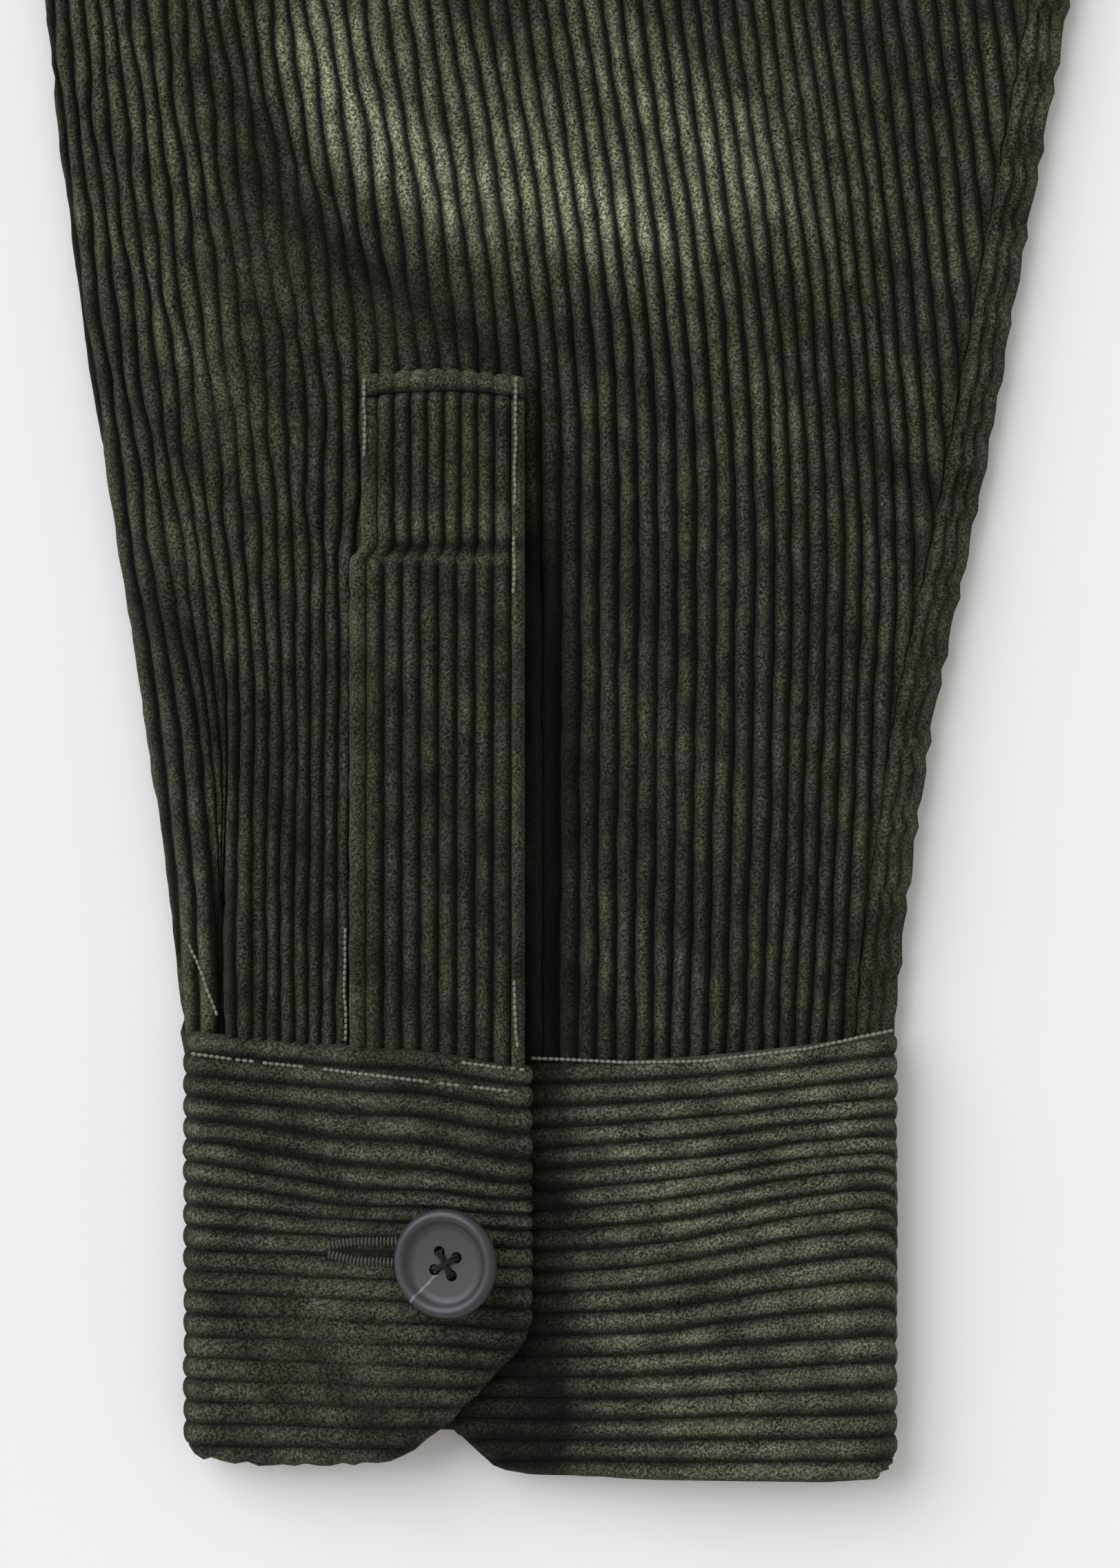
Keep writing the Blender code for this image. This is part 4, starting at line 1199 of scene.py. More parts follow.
def cuff_path(step):
    """The cuff round the wrist from its outer end.

    Returns, for each step: across, height of its middle, lower outline, base and outward normal.
    """
    middle = CUFF_WALL / 2.0
    left_r = (LAP_Z - middle) / 2.0
    left_c = -(CUFF_HALF - middle - left_r)
    right_r = (LAY_Z + END_RISE - middle) / 2.0
    right_c = CUFF_HALF - middle - right_r
    edge = np.array([0.0, 0.25, 0.6, 1.1, 1.8])
    lap_c = np.concatenate([LAP_END_C - edge, np.linspace(LAP_END_C - 3.0, left_c, int(50 / step))])
    turns = arc(90.0, -90.0, 7)
    under_c = np.linspace(left_c, right_c, int(100 / (2.0 * step)))
    lay_c = np.concatenate([
        np.linspace(right_c, UNDERLAP_END_C + 3.0, int(76 / step)), UNDERLAP_END_C + edge[::-1],
    ])
    c = np.concatenate([
        lap_c, left_c - left_r * np.cos(turns), under_c, right_c + right_r * np.cos(turns[::-1]), lay_c,
    ])
    z = np.concatenate([
        lap_z(lap_c), middle + left_r * (1 + np.sin(turns)), np.full_like(under_c, middle),
        middle + right_r * (1 + np.sin(turns[::-1])), lay_z(lay_c),
    ])
    count = len(turns)
    low = np.concatenate([
        lap_low(lap_c), np.linspace(lap_low(left_c), LEFT_FOLD_LOW, count),
        np.linspace(LEFT_FOLD_LOW, RIGHT_FOLD_LOW, len(under_c)),
        np.linspace(RIGHT_FOLD_LOW, underlap_low(right_c), count), underlap_low(lay_c),
    ])
    base = np.concatenate([
        np.full(len(lap_c) + count, LAP_BASE), np.linspace(LAP_BASE, 0.0, len(under_c)),
        np.zeros(count + len(lay_c)),
    ])
    along = np.stack([np.gradient(c), np.gradient(z)], axis=-1)
    along = along / np.linalg.norm(along, axis=-1, keepdims=True)
    return c, z, low, base, np.stack([along[:, 1], -along[:, 0]], axis=-1)


def lap_rise(c):
    """How much higher the cuff's outer end reaches up the sleeve than the seam."""
    return CUFF_TOP_RISE * ease(-c, 1.0, 22.0)


def cuff_sway(s, c, on_lap):
    """How the cuff's wales dip and rise, most of all near the button and the crease."""
    dip = LAP_DIP * ease(c, -57.0, -28.0) * hump(s, 52.0, 8.0)
    rise = -LAY_RISE * ease(c, 0.0, 58.0) * hump(s, 38.0, 19.0)
    wave = 0.35 * uneven(c, s, 54.0, 2.2) * rounding(s, 20.0) * rounding(66.0 - s, 12.0)
    return np.where(on_lap, dip, rise) + wave


def cuff_nap_and_painted_light(s, c, on_lap):
    """How much lighter or darker the cuff's pile is painted: painted shade on the outer end round the
    button, lighter towards its top and its rounded left end, painted light on the inner end, a painted
    shadow cast by the outer end on the inner end beside it, painted shade along the lower edge, and slow
    random drift. The wales round the button are worn flatter in make_cuff.
    """
    # Outer end: painted shade, lighter towards its top and its rounded left end, darker towards its foot
    lap = -0.39 - 0.12 * hump(s, 14.0, 14.0) + 0.14 * hump(s, 56.0, 12.0) + 0.3 * ease(-c, 50.0, 60.0)
    # Inner end: painted light, with a painted shadow cast by the outer end beside it
    lay = 0.14 + 0.1 * hump(s, 52.0, 16.0) - 0.98 * np.exp(-np.maximum(c - 3.6, 0.0) / 5.4)
    # Painted shade along the lower edge, left of the middle
    lay = lay - 0.2 * hump(s, 0.0, 7.0) * ease(-c, -24.0, 10.0)
    drift = 0.1 * uneven(s, c / 9.0, 31.0, 0.9)
    return np.maximum(np.where(on_lap, lap, lay) + drift, DARKEST_CUFF_PAINTED_SHADE)


def make_cuff(node, side, phases, step):
    """A folded band round the wrist, its wales running round it, lapped on top."""
    c, z, low, base, normal = cuff_path(step)
    inner = wale_numbers(0.12, CUFF_WALES - 0.12, phases)
    wales = np.concatenate([[0.0, 0.05], inner, [CUFF_WALES - 0.05, CUFF_WALES]])
    high = cuff_seam_s(c) + 0.35 + lap_rise(c)
    share = (wales / CUFF_WALES)[None, :]
    s = base[:, None] + (high - base)[:, None] * share
    across = np.broadcast_to(c[:, None], s.shape)
    on_top = normal[:, 1] > 0.5
    facing_up = np.sqrt(np.clip(normal[:, [1]], 0.0, 1.0))
    on_lap = (on_top & (np.arange(len(c)) < len(c) // 2))[:, None]
    end_c = np.where(on_lap, LAP_END_C - across, across - UNDERLAP_END_C)
    end = np.where(on_top[:, None], end_c, 9.0)
    inside = rounding(np.minimum(share, 1.0 - share) * CUFF_HEIGHT, 16.0)
    s = s - cuff_sway(s, across, on_lap) * inside * facing_up
    scallop = 0.55 * np.abs(np.sin(math.pi * wales))[None, :] ** 0.7
    out_of_line = (scallop - 0.3) * np.exp(-end / 1.2) * np.where(on_lap, 1.0, -1.0) * on_top[:, None]
    across = across + out_of_line
    floor_s = low[:, None] + 0.5 * hump(np.mod(across, WALE * 1.6), WALE * 0.8, 1.2) * on_lap
    s = np.maximum(s, floor_s)
    from_rim = np.minimum(s - floor_s, high[:, None] - s)
    from_edge = np.minimum(from_rim, end)
    plan = sleeve_place(s, across)
    groove = 0.6 * np.exp(-(((s - high[:, None] + 2.6) / 0.8) ** 2))
    height = np.broadcast_to(z[:, None], s.shape) - groove
    middle = np.concatenate([plan, height[..., None]], axis=-1)
    out = np.stack([
        normal[:, 0] * math.cos(FOREARM_TURN), -normal[:, 0] * math.sin(FOREARM_TURN), normal[:, 1],
    ], axis=-1)[:, None, :]
    piece = Cloth(node, side)
    at_edge = rounding(from_rim, 1.0)
    nap = (1.0 + cuff_nap_and_painted_light(s, across, on_lap)) * (1.0 + wale_nap(wales[None, :], across)) - 1.0
    worn = 1.0 - 0.72 * hump(s, 21.0, 17.0) * hump(across, -35.0, 20.0) * on_lap
    piece.add_slab(
        middle, out, from_edge, 1.7, CUFF_WALL / 2.0 - 0.45 * CUFF_RIDGE,
        wales[None, :], (0.25 + 0.75 * at_edge) * worn, nap,
    )
    declare(piece.build(CUFF_CLOTH_PAINTED_LIGHTER, CUFF_RIDGE, lean=CUFF_FLANK_SHADE), piece)


make_cuff("cuff_right", 1, FINE_PHASES, 1.9)
make_cuff("cuff_left", -1, PLAIN_PHASES, 4.0)


# Placket towers


def tower_seat_z(s, c):
    """The placket lies on the sleeve and doesn't follow the dip beside the opening."""
    return sleeve_top_z(s, c) + SLIT_DEPTH * hump(c, SLIT_C, SLIT_WIDTH)


def tower_left(s):
    """The placket's left edge steps in at its head."""
    step = ease(s, TOWER_HEAD_S - 1.2, TOWER_HEAD_S + 0.8)
    return TOWER_LEFT_C + (TOWER_HEAD_LEFT_C - TOWER_LEFT_C) * step + 0.12 * uneven(s, 0.0, 9.0, 0.2)


def make_tower(node, side, phases, step):
    """The placket strip with its boxed head, a rolled border along both sides and the top."""
    foot = CUFF_SEAM_LOW - TOWER_FOOT_TUCK
    end = TOWER_END_S - np.array(TOWER_END_STEPS)
    body = np.linspace(0.0, end[0] - foot - 0.8, int((end[0] - foot) / step))
    rows = np.concatenate([body, end - foot])[:, None]
    left_roll = np.array(ROLL_SHARES)
    wales = wale_numbers(0.0, TOWER_WALES, phases)
    right_roll = 1.0 - left_roll[::-1]
    s = foot + rows + np.zeros((1, len(left_roll) * 2 + len(wales)))
    left = tower_left(s[:, :1])
    ditch_c = left + TOWER_LEFT_ROLL
    c = np.concatenate([
        left + TOWER_LEFT_ROLL * left_roll,
        ditch_c + (TOWER_RIGHT_C - TOWER_ROLL - ditch_c) * wales / TOWER_WALES,
        np.broadcast_to(TOWER_RIGHT_C - TOWER_ROLL * (1.0 - right_roll), (len(rows), len(right_roll))),
    ], axis=1)
    c = c + 0.1 * uneven(s, c, 21.0, 1.1) * rounding(np.minimum(c - left, TOWER_RIGHT_C - c), 1.0)
    s = s + (cuff_seam_s(c) - CUFF_SEAM_LOW) * (1.0 - rows / (TOWER_END_S - foot))
    wale = np.concatenate([np.full(len(left_roll), 0.5), wales, np.full(len(right_roll), 0.5)])
    on_left = np.sin(math.pi * left_roll)
    on_right = np.sin(math.pi * right_roll)
    on_roll = np.concatenate([on_left, np.zeros(len(wales)), on_right])[None, :]
    counts = [len(left_roll), len(wales), len(right_roll)]
    middle_part = np.repeat([False, True, False], counts)[None, :]
    from_middle = (c - (TOWER_RIGHT_C + TOWER_LEFT_C) / 2.0) / 14.0
    arch = TOWER_ARCH * from_middle**2 * ease(s, 172.0, TOWER_END_S)
    s = s - arch
    from_end = TOWER_END_S - s - arch
    roll_end = np.clip(from_end / TOWER_HEAD_ROLL, 0.0, 1.0)
    end_roll = np.sin(math.pi * roll_end) * (from_end < TOWER_HEAD_ROLL)
    scallop = 0.5 * np.abs(np.sin(math.pi * wale))[None, :] * (from_end < 0.3)
    swell = 0.75 * np.maximum(on_roll, end_roll * np.where(middle_part, 1.0, 0.8)) ** 0.8
    beside = hump(c, ditch_c, 0.45) + hump(c, TOWER_RIGHT_C - TOWER_ROLL, 0.4)
    ditch = 0.75 * beside * (from_end > TOWER_HEAD_ROLL) + hump(from_end, TOWER_HEAD_ROLL + 0.2, 0.55)
    bar = ease(c, TOWER_HEAD_LEFT_C + 3.0, TOWER_HEAD_LEFT_C + 5.0)
    above = hump(s, TOWER_HEAD_S + 4.6, 3.4) * (s > TOWER_HEAD_S)
    cross = 1.5 * bar * hump(s, TOWER_HEAD_S + 0.8, 0.9) - 1.1 * above
    tuck = 2.4 * (1.0 - ease(s - foot - lap_rise(c), 0.2, 3.2))
    top = tower_seat_z(s, c) + SEAM + TOWER_WALL - 0.4 * RIDGE + swell - ditch - cross - tuck
    bottom = tower_seat_z(s, c) + SEAM - 0.9 * tuck
    from_edge = np.minimum(np.minimum(c - left, TOWER_RIGHT_C - c), from_end)
    plan = sleeve_place(s + scallop, c)
    middle = np.concatenate([plan, ((top + bottom) / 2.0)[..., None]], axis=-1)
    half = (top - bottom) / 2.0
    from_roll = from_end - TOWER_HEAD_ROLL
    rib = np.where(middle_part & (from_roll > 0.0), rounding(from_roll, 0.8), 0.25)
    rib = rib * (1.0 - 0.8 * hump(s, TOWER_HEAD_S - 0.8, 1.1))
    # Painted light and shade on the placket: a painted highlight on the boxed head just above its cross
    # seam and on the rolled top edge, painted shade in the ditch under that roll, lighter again below
    # it, painted shade just above the cross seam and painted light just below it; the whole placket a
    # little darker, more so about its lower middle, and random nap
    nap = -0.18 + 0.65 * hump(s, TOWER_HEAD_S + 4.2, 2.4) - 0.15 * hump(s, 100.0, 30.0)
    nap = nap + 0.3 * (from_end < 0.7 * TOWER_HEAD_ROLL)
    nap = nap - 0.75 * hump(from_roll, 0.1, 0.5) + 0.35 * hump(from_roll, 1.6, 0.8)
    nap = nap + bar * (0.4 * hump(s, TOWER_HEAD_S - 0.9, 0.6) - 0.8 * hump(s, TOWER_HEAD_S + 0.9, 0.8))
    nap = nap + 0.08 * uneven(s, c / 6.0, 24.0, 3.0) + wale_nap(wale[None, :] + 3.0, s) * 0.8
    piece = Cloth(node, side)
    up = np.array([0.0, 0.0, 1.0])
    piece.add_slab(middle, up, from_edge, 1.2, half, wale[None, :], rib, nap)
    declare(piece.build(SLEEVE_CLOTH, TOWER_RIDGE), piece)


make_tower("placket_right", 1, FINE_PHASES, 1.3)
make_tower("placket_left", -1, PLAIN_PHASES, 3.0)


# Body


def panel_rows(count):
    """Shares of a panel's height, closer together at the hem and where the shoulder rounds off."""
    near_top = np.array([0.0, 0.9, 2.0, 4.0, 8.0]) / (NECK_Y - HEM_RISE)
    near_hem = np.array([1.2, 0.4, 0.0]) / (NECK_Y - HEM_RISE)
    rest = np.linspace(0.018, 0.996, count)
    return 1.0 - np.concatenate([near_top, rest, 1.0 - near_hem])[::-1]


def lap_share(x):
    """How fully a front lies on the other one: 1 on the lap, fading to 0 beside it."""
    return 1.0 - ease(-x, FRONT_LAP, FRONT_LAP + LAP_FADE)


def make_front(node, side, lap_lift):
    """One front. The one that laps over the other is lifted by a layer of cloth."""
    wales = wale_numbers(-FRONT_LAP / WALE, SIDE_HALF / WALE, PLAIN_PHASES)
    across, y = panel_plan(-wales * WALE, panel_rows(46), FRONT_NECK_DEPTH, 0.0)
    wander = 0.35 * uneven(y, across / 21.0, 170.0, 0.6) * rounding(SIDE_HALF + across, 20.0)
    z = front_top_z(across, y) + lap_lift * lap_share(across) - 0.5 * RIDGE
    hem = y - hem_y(across)
    at_hem = hump(hem, HEM_TURNING, 1.6)
    fold = 0.7 * at_hem + 0.7 * hump(FRONT_LAP - across, FRONT_TURNING, 1.4)
    edge = np.minimum(hem, FRONT_LAP - across)
    z = z - fold - 0.5 * (1.0 - rounding(edge, 2.2))
    piece = Cloth(node, side)
    points = np.stack([across + wander * (edge > 1.0), y, np.maximum(z, SHELL + 0.1)], axis=-1)
    rib = (0.3 + 0.7 * rounding(edge, 2.0)) * (1.0 - 0.6 * at_hem)
    nap = 0.1 * uneven(y, across / 37.0, 260.0, 1.9)
    piece.add(points[::-1].swapaxes(0, 1), wales[None, ::-1], rib[::-1].T, nap[::-1].T)
    declare(piece.build(BODY_CLOTH, RIDGE, SHELL), piece)


def make_back():
    """The back lies flat under the fronts, a little inside them. Its inner side shows at the neck."""
    half = SIDE_HALF / WALE
    wales = wale_numbers(-half, half, UNDER_PHASES)
    rows = panel_rows(14)
    across, y = panel_plan(-wales * WALE, rows, BACK_NECK_DEPTH, BACK_INSET)
    fill = np.interp(np.abs(wales * WALE), *NECK_FILL)
    y = y + fill[:, None] * ease(rows, 0.9, 1.0)[None, :]
    z = np.full_like(y, CLOTH - 0.3)
    piece = Cloth("back", 1)
    points = np.stack([across, y, z], axis=-1)[::-1].swapaxes(0, 1)
    piece.add(points, wales[None, ::-1], 1.0, -0.2)
    declare(piece.build(BODY_CLOTH, INNER_RIDGE, SHELL), piece)


def collar_path(row):
    """One section through the collar: up from the neck seam, over the roll, down to the free edge."""
    seam, roll, edge = row[0:3], row[3:6], row[6:9]
    out = (edge - roll) * np.array([1.0, 1.0, 0.0])
    out = out / np.linalg.norm(out)
    up = np.array([0.0, 0.0, 1.0])
    inner = roll - out * ROLL_DROP - up * ROLL_OUT
    outer = roll + out * ROLL_OUT - up * ROLL_DROP
    shoulder = roll + out * FALL_OUT - up * FALL_DROP
    belly = (shoulder + edge) / 2.0 + up * FALL_CROWN
    return through([seam, (seam + inner) / 2.0, inner, roll, outer, shoulder, belly, edge], 71)


def collar_sections(count):
    """Sections through the whole collar, a count of them for each half."""
    half = through(COLLAR_SECTIONS, count)
    mirrored = half[1:] * np.array([-1.0, 1.0, 1.0] * 3)
    return np.vstack([half[::-1], mirrored])


def make_collar():
    """A one-piece collar rolled over on itself, open in front. Its wales follow the roll."""
    sections = collar_sections(45)
    wales = wale_numbers(-14.0, 36.0, PLAIN_PHASES)
    points = []
    from_edge = []
    for row in sections:
        path = collar_path(row)
        reach = reach_along(path)
        at = np.clip(wales * WALE + reach[30], 0.0, reach[-1])
        points.append(np.stack([np.interp(at, reach, path[:, axis]) for axis in range(3)], axis=-1))
        from_edge.append(np.minimum(at, reach[-1] - at))
    points = np.array(points)
    from_edge = np.array(from_edge)
    end = np.minimum(np.arange(len(sections)), np.arange(len(sections))[::-1]) * 6.0
    rib = 0.25 + 0.75 * rounding(np.minimum(from_edge, end[:, None]), 2.0)
    points[..., 2] -= 0.5 * hump(from_edge, COLLAR_STITCH_INSET, 0.9)
    piece = Cloth("collar", 1)
    piece.add(points, wales[None, :], rib, 0.1 * uneven(points[..., 0], points[..., 1], 90.0, 2.0))
    made = piece.build(BODY_CLOTH, COLLAR_RIDGE, COLLAR_WALL)
    made.modifiers["wall"].offset = 0.0
    declare(made, piece)


make_front("front_right", 1, 0.0)
make_front("front_left", -1, CLOTH + SEAM)
make_back()
make_collar()


# Buttons


def button_mesh():
    """A turned button: bold rim, a fine step inside it, dished face, four holes."""
    radius, height = BUTTON_RADIUS, BUTTON_HEIGHT
    profile = bpy.data.meshes.new("button_profile")
    points = [(x * radius * MM, 0.0, z * height * MM) for x, z in BUTTON_OUTLINE]
    profile.from_pydata(points, [(i, i + 1) for i in range(len(points) - 1)], [])
    turned = add_object("button_turned", profile)
    screw = turned.modifiers.new("turn", "SCREW")
    screw.steps = screw.render_steps = 56
    screw.use_merge_vertices = True
    screw.merge_threshold = 0.00001
    drills = []
    for hole in range(4):
        turn = math.radians(45.0 + 90.0 * hole)
        reach = BUTTON_HOLE_OFFSET * MM
        bpy.ops.mesh.primitive_cylinder_add(
            vertices=18, radius=BUTTON_HOLE_RADIUS * MM, depth=4 * height * MM,
            location=(reach * math.cos(turn), reach * math.sin(turn), 0.0),
        )
        drill = bpy.context.object
        cut = turned.modifiers.new(f"hole_{hole}", "BOOLEAN")
        cut.operation = "DIFFERENCE"
        cut.object = drill
        drills.append(drill)
    mesh = evaluated_mesh(turned)
    for obj in (*drills, turned):
        bpy.data.objects.remove(obj)
    layer = mesh.uv_layers.new(name="button")
    for loop in mesh.loops:
        x, y, _ = mesh.vertices[loop.vertex_index].co
        layer.data[loop.index].uv = (x / (radius * MM), y / (radius * MM))
    mesh.shade_smooth()
    mesh.set_sharp_from_angle(angle=math.radians(38.0))
    mesh.materials.clear()
    mesh.materials.append(BUTTON)
    return mesh


def lines_object(name, lines):
    """Open lines as a mesh of edges."""
    points = []
    edges = []
    for line in lines:
        edges += [(len(points) + i, len(points) + i + 1) for i in range(len(line) - 1)]
        points += [tuple(place) for place in line]
    mesh = bpy.data.meshes.new(name)
    mesh.from_pydata(points, edges, [])
    return add_object(name, mesh)


def sew(name, lines, tree, **settings):
    """Turns lines into thread, and rides it on the frame."""
    obj = apply_tree(lines_object(name, lines), tree, **settings)
    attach(obj, "root")


def add_button(name, mesh, placing, lines):
    """One button at its place, and the path of its thread from the middle to each hole and down."""
    obj = add_object(f"{name}_turned", mesh.copy())
    obj.data.transform(placing)
    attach(obj, "root")
    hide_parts(name)
    face = BUTTON_OUTLINE[0][1] * BUTTON_HEIGHT
    for angle in (45.0 - 9.0, 45.0 + 9.0, 135.0 - 9.0, 135.0 + 9.0):
        turn = math.radians(angle)
        line = []
        for reach, z in THREAD_PATH:
            x = reach * BUTTON_HOLE_OFFSET * math.cos(turn)
            y = reach * BUTTON_HOLE_OFFSET * math.sin(turn)
            line.append(placing @ (Vector((x, y, face + z)) * MM))
        lines.append(line)


def make_buttons():
    """Buttons down the front, and one on each cuff, tilted as its shank lets it."""
    mesh = button_mesh()
    lines = []
    around = BUTTON_RADIUS * np.array([[0, 0], [1, 0], [-1, 0], [0, 1], [0, -1]])
    for number, y in enumerate(FRONT_BUTTON_YS, 1):
        seat = np.max(front_top_z(around[:, 0], y + around[:, 1])) + CLOTH + 2 * SEAM
        place = Matrix.Translation(to_metres([0.0, y, seat], 1))
        add_button(f"button_front_{number}", mesh, place, lines)
    cuff_top = LAP_Z + END_RISE + CUFF_WALL / 2.0
    lift = BUTTON_RADIUS * math.sin(CUFF_BUTTON_TILT) + SEAM
    for name, side in (("button_cuff_right", 1), ("button_cuff_left", -1)):
        place = to_metres([*sleeve_place(BUTTON_S, BUTTON_C), cuff_top + lift], side)
        turn = Matrix.Rotation(-side * FOREARM_TURN, 4, "Z")
        tilt = Matrix.Rotation(-side * CUFF_BUTTON_TILT, 4, "Y")
        spin = Matrix.Rotation(side * CUFF_BUTTON_SPIN, 4, "Z")
        add_button(name, mesh, Matrix.Translation(place) @ turn @ tilt @ spin, lines)
    bpy.data.meshes.remove(mesh)
    sew("button_thread", lines, THREADS, thickness=0.6 * MM, thread=BUTTON_SEWING)


make_buttons()


# Sewing


def sleeve_line(piece_top, corners, lift, side, step=1.5):
    """A line through points (across, along), laid on a surface whose height a function gives."""
    corners = np.array(corners, float)
    reach = reach_along(corners)
    at = np.linspace(0.0, reach[-1], max(3, int(reach[-1] / step)))
    c = np.interp(at, reach, corners[:, 0])
    s = np.interp(at, reach, corners[:, 1])
    c = c + 0.16 * uneven(at, 0.0, 11.0, corners[0, 0])
    z = piece_top(s, c) + lift
    return to_metres(np.column_stack([sleeve_place(s, c), z]), side)


def tower_top(s, c):
    """Height of the placket's upper side."""
    return tower_seat_z(s, c) + SEAM + TOWER_WALL


def cuff_lap_top(s, c):
    """Height of the cuff's outer end, on top."""
    return lap_z(c) + CUFF_WALL / 2.0


def cuff_lay_top(s, c):
    """Height of the cuff's inner end, on top."""
    return lay_z(c) + CUFF_WALL / 2.0


# Where the pale ground of the cloth shows along seams, as points (across, along)
TOWER_BARE_LINES = (
    ((-3.9, 181.5), (-4.1, 165.0), (-4.3, 147.0)),
    ((-4.2, 82.5), (-3.8, 72.5)),
    ((-28.9, 181.4), (-28.8, 176.0), (-28.9, 169.5)),
)
SLEEVE_BARE_LINES = (
    ((-32.1, 91.0), (-32.2, 84.0), (-32.0, 73.2)),
    ((-58.2, 89.3), (-55.6, 83.0), (-53.4, 77.4)),
)
LAP_BARE_LINES = (
    ((-57.0, 70.7), (-51.2, 69.9)),
    ((-49.8, 69.7), (-47.6, 69.5)),
    ((-45.2, 69.2), (-39.4, 68.6)),
    ((-35.4, 68.2), (-26.0, 67.2), (-18.4, 66.3)),
    ((-16.0, 66.0), (-13.6, 65.7)),
    ((-10.6, 65.4), (-5.5, 64.8)),
    ((-12.4, 69.4), (-6.5, 68.6)),
    ((-4.4, 68.5), (-2.9, 68.3)),
)
LAY_BARE_LINES = (((-1.0, 69.9), (14.3, 69.3), (27.0, 69.6), (43.9, 71.6), (57.6, 74.6)),)


BARE_LINES = (
    (tower_top, 0.75, TOWER_BARE_LINES),
    (sleeve_top_z, 0.45, SLEEVE_BARE_LINES),
    (cuff_lap_top, 0.3, LAP_BARE_LINES),
    (cuff_lay_top, 0.1, LAY_BARE_LINES),
)

# A cuff's buttonhole: the upper and the lower row of its stitches, and the slit between them
HOLE_ROWS = (
    ((-34.6, 39.2), (-30.0, 40.0), (-8.0, 40.3)),
    ((-34.6, 37.9), (-30.0, 36.8), (-8.0, 36.4)),
)
HOLE_SLIT = ((-34.4, 38.5), (-8.0, 38.4))
FRONT_HOLE_BELOW = 13.0
FRONT_HOLE_ABOVE = 9.0
FRONT_HOLE_HALF = 1.1
FRONT_HOLE_POINTS = 12


def stitch_sizes(pitch, length, width, height):
    """Sizes of a row of stitches, from millimetres."""
    return {
        "pitch": pitch * MM, "stitch_length": length * MM,
        "stitch_width": width * MM, "stitch_height": height * MM,
    }


def sew_bare_lines():
    """The pale ground shows between the pile as fine stitches of the ground weave."""
    lines = []
    for side in (1, -1):
        for piece_top, lift, table in BARE_LINES:
            lines += [sleeve_line(piece_top, line, lift, side) for line in table]
    sew("bare_ground_lines", lines, STITCHES, thread=GROUND_WEAVE, **stitch_sizes(0.95, 1.0, 0.62, 0.5))


def front_hole_line(x, y, lift):
    """A line along the front buttonhole at y, a little over the cloth."""
    ends = np.linspace(y - FRONT_HOLE_BELOW, y + FRONT_HOLE_ABOVE, FRONT_HOLE_POINTS)
    x = np.full(FRONT_HOLE_POINTS, x)
    z = front_top_z(x, ends) + CLOTH + SEAM + lift
    return to_metres(np.column_stack([x, ends, z]), 1)


def sew_buttonholes():
    """Worked buttonholes: two rows of close stitches across, and a dark cord along the slit between
    them, painted shade.
    """
    rows = []
    slits = []
    for side in (1, -1):
        rows += [sleeve_line(cuff_lap_top, row, 0.55, side, 0.7) for row in HOLE_ROWS]
        slits.append(sleeve_line(cuff_lap_top, HOLE_SLIT, 0.35, side))
    for y in FRONT_BUTTON_YS:
        rows += [front_hole_line(x, y, 0.15) for x in (-FRONT_HOLE_HALF, FRONT_HOLE_HALF)]
        slits.append(front_hole_line(0.0, y, 0.0))
    sew("buttonhole_stitches", rows, STITCHES, thread=HOLE_SEWING, **stitch_sizes(0.62, 0.55, 1.7, 0.9))
    # A dark cord along each slit stands for the shade in it: painted shade
    sew("buttonhole_slits", slits, THREADS, thickness=0.9 * MM, thread=SLIT)


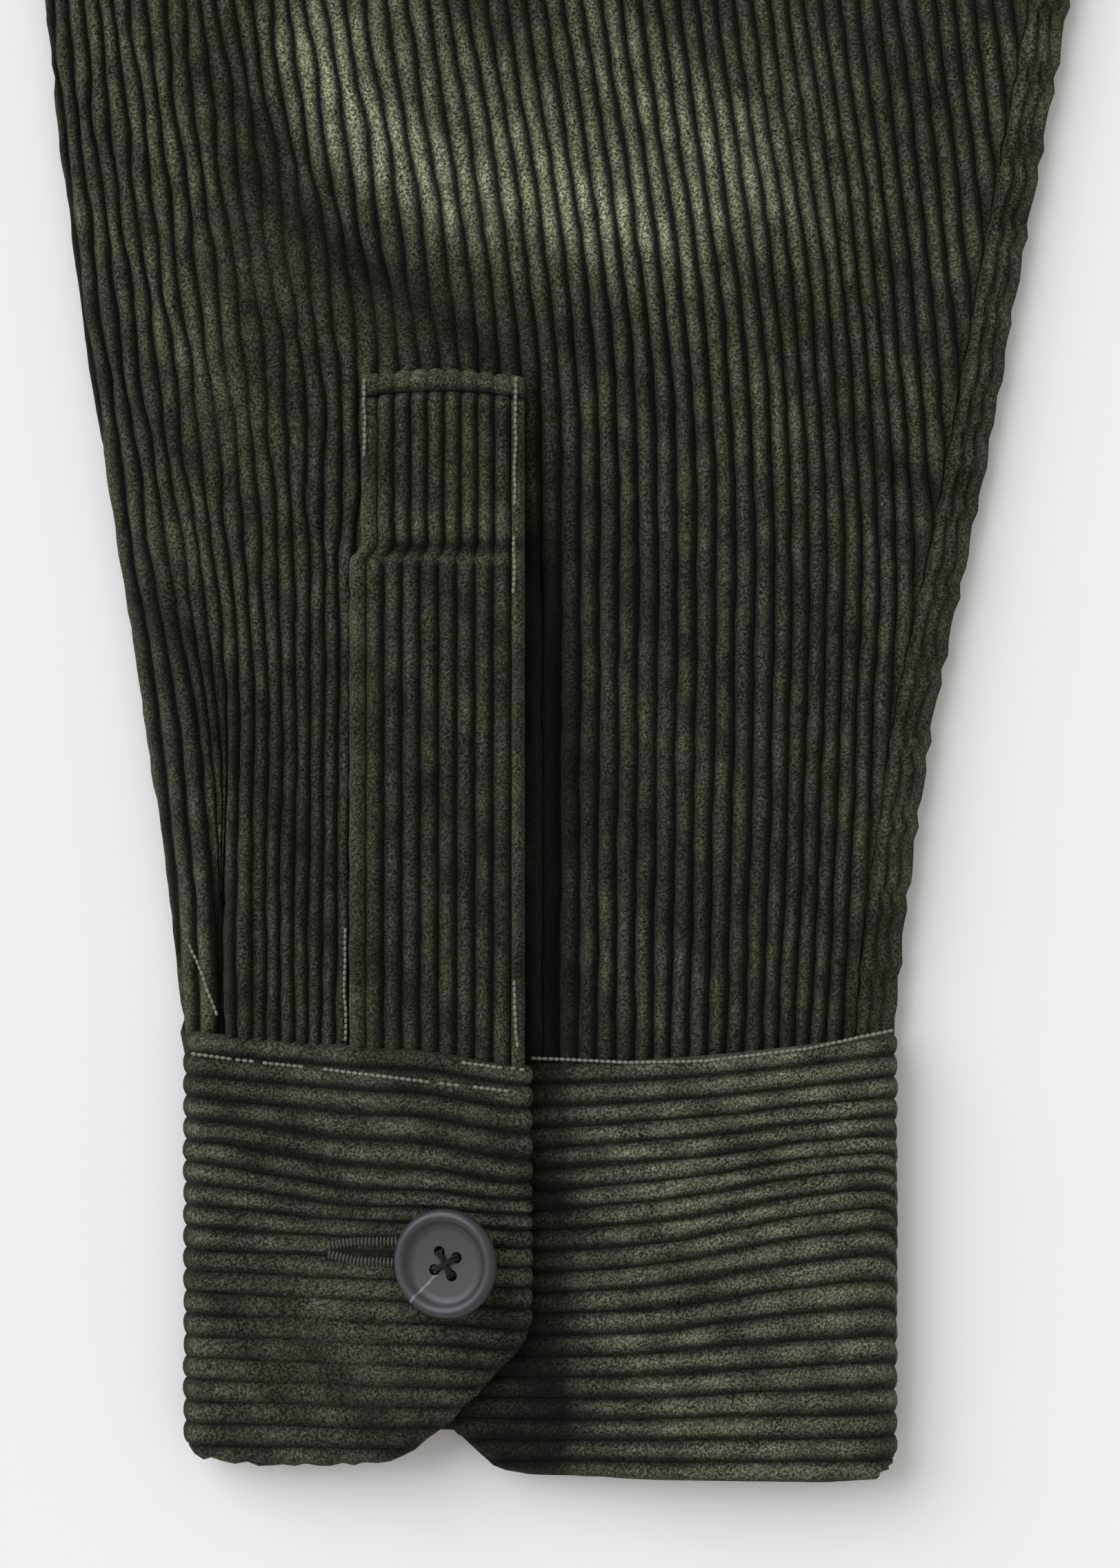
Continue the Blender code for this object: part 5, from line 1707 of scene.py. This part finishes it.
def sew_body_seams():
    """Plain topstitching along the hem, the front edges and the collar's edge."""
    lines = []
    for side, lift in ((1, 0.0), (-1, CLOTH + SEAM)):
        x = np.linspace(FRONT_LAP - 2.0, -SIDE_HALF + 3.0, 150)
        y = hem_y(x) + HEM_TURNING
        z = front_top_z(x, y) + lift * lap_share(x) - 0.15
        lines.append(to_metres(np.stack([x, y, z], axis=-1), side))
        y = np.linspace(HEM_TURNING + 1.0, NECK_Y - FRONT_NECK_DEPTH - 2.0, 240)
        x = np.full_like(y, FRONT_LAP - FRONT_TURNING)
        z = front_top_z(x, y) + lift - 0.15
        lines.append(to_metres(np.stack([x, y, z], axis=-1), side))
    rim = []
    for row in collar_sections(90)[3:-3]:
        path = collar_path(row)
        reach = reach_along(path)
        at = reach[-1] - COLLAR_STITCH_INSET
        rim.append([np.interp(at, reach, path[:, axis]) for axis in range(3)])
    rim = np.array(rim)
    rim[:, 2] += COLLAR_WALL / 2.0 + 0.55
    lines.append(to_metres(rim, 1))
    sew("topstitching", lines, STITCHES, thread=SEWING, **stitch_sizes(3.4, 2.7, 0.6, 0.5))


sew_bare_lines()
sew_buttonholes()
sew_body_seams()


# Stage


def make_camera():
    """Looks straight down at the sleeve end, with the sleeve upright in the picture."""
    data = bpy.data.cameras.new("camera")
    data.sensor_width = SENSOR
    data.lens = LENS
    camera = add_object("camera", data)
    away = VIEW_HEIGHT * LENS / SENSOR
    camera.location = to_metres([*sleeve_place(VIEW_S, VIEW_C), away + CAMERA_RISE], 1)
    camera.rotation_euler = (0.0, 0.0, -FOREARM_TURN)
    bpy.context.scene.camera = camera


def make_floor():
    """A plain pale floor, just under the cloth."""
    mesh = bpy.data.meshes.new("floor")
    signs = ((-1, -1), (1, -1), (1, 1), (-1, 1))
    mesh.from_pydata([(x * FLOOR_HALF, y * FLOOR_HALF, 0.0) for x, y in signs], [], [(0, 1, 2, 3)])
    floor = add_object("floor", mesh)
    material, shader = principled("pale_floor", 0.9, specular=0.1)
    shader.inputs["Base Color"].default_value = (0.8, 0.8, 0.8, 1.0)
    mesh.materials.append(material)


def add_key():
    """A soft sun that shines from the picture's upper left."""
    data = bpy.data.lights.new("key", "SUN")
    data.energy = KEY_STRENGTH
    data.angle = KEY_ANGLE
    data.color = KEY_COLOUR
    light = add_object("key", data)
    across = Vector((math.cos(FOREARM_TURN), -math.sin(FOREARM_TURN), 0.0))
    along = Vector((math.sin(FOREARM_TURN), math.cos(FOREARM_TURN), 0.0))
    up = Vector((0.0, 0.0, 1.0))
    towards = (across * KEY_LEAN[0] + along * KEY_LEAN[1] + up * KEY_LEAN[2]).normalized()
    light.rotation_mode = "QUATERNION"
    light.rotation_quaternion = towards.to_track_quat("Z", "Y")


def make_studio():
    """The key light and an even fill."""
    world = bpy.data.worlds.new("studio")
    bpy.context.scene.world = world
    world.use_nodes = True
    preset(world.node_tree.nodes["Background"], Color=(*FILL_COLOUR, 1.0), Strength=FILL_STRENGTH)
    add_key()
    bpy.context.scene.view_settings.view_transform = "Standard"


make_camera()
make_floor()
make_studio()
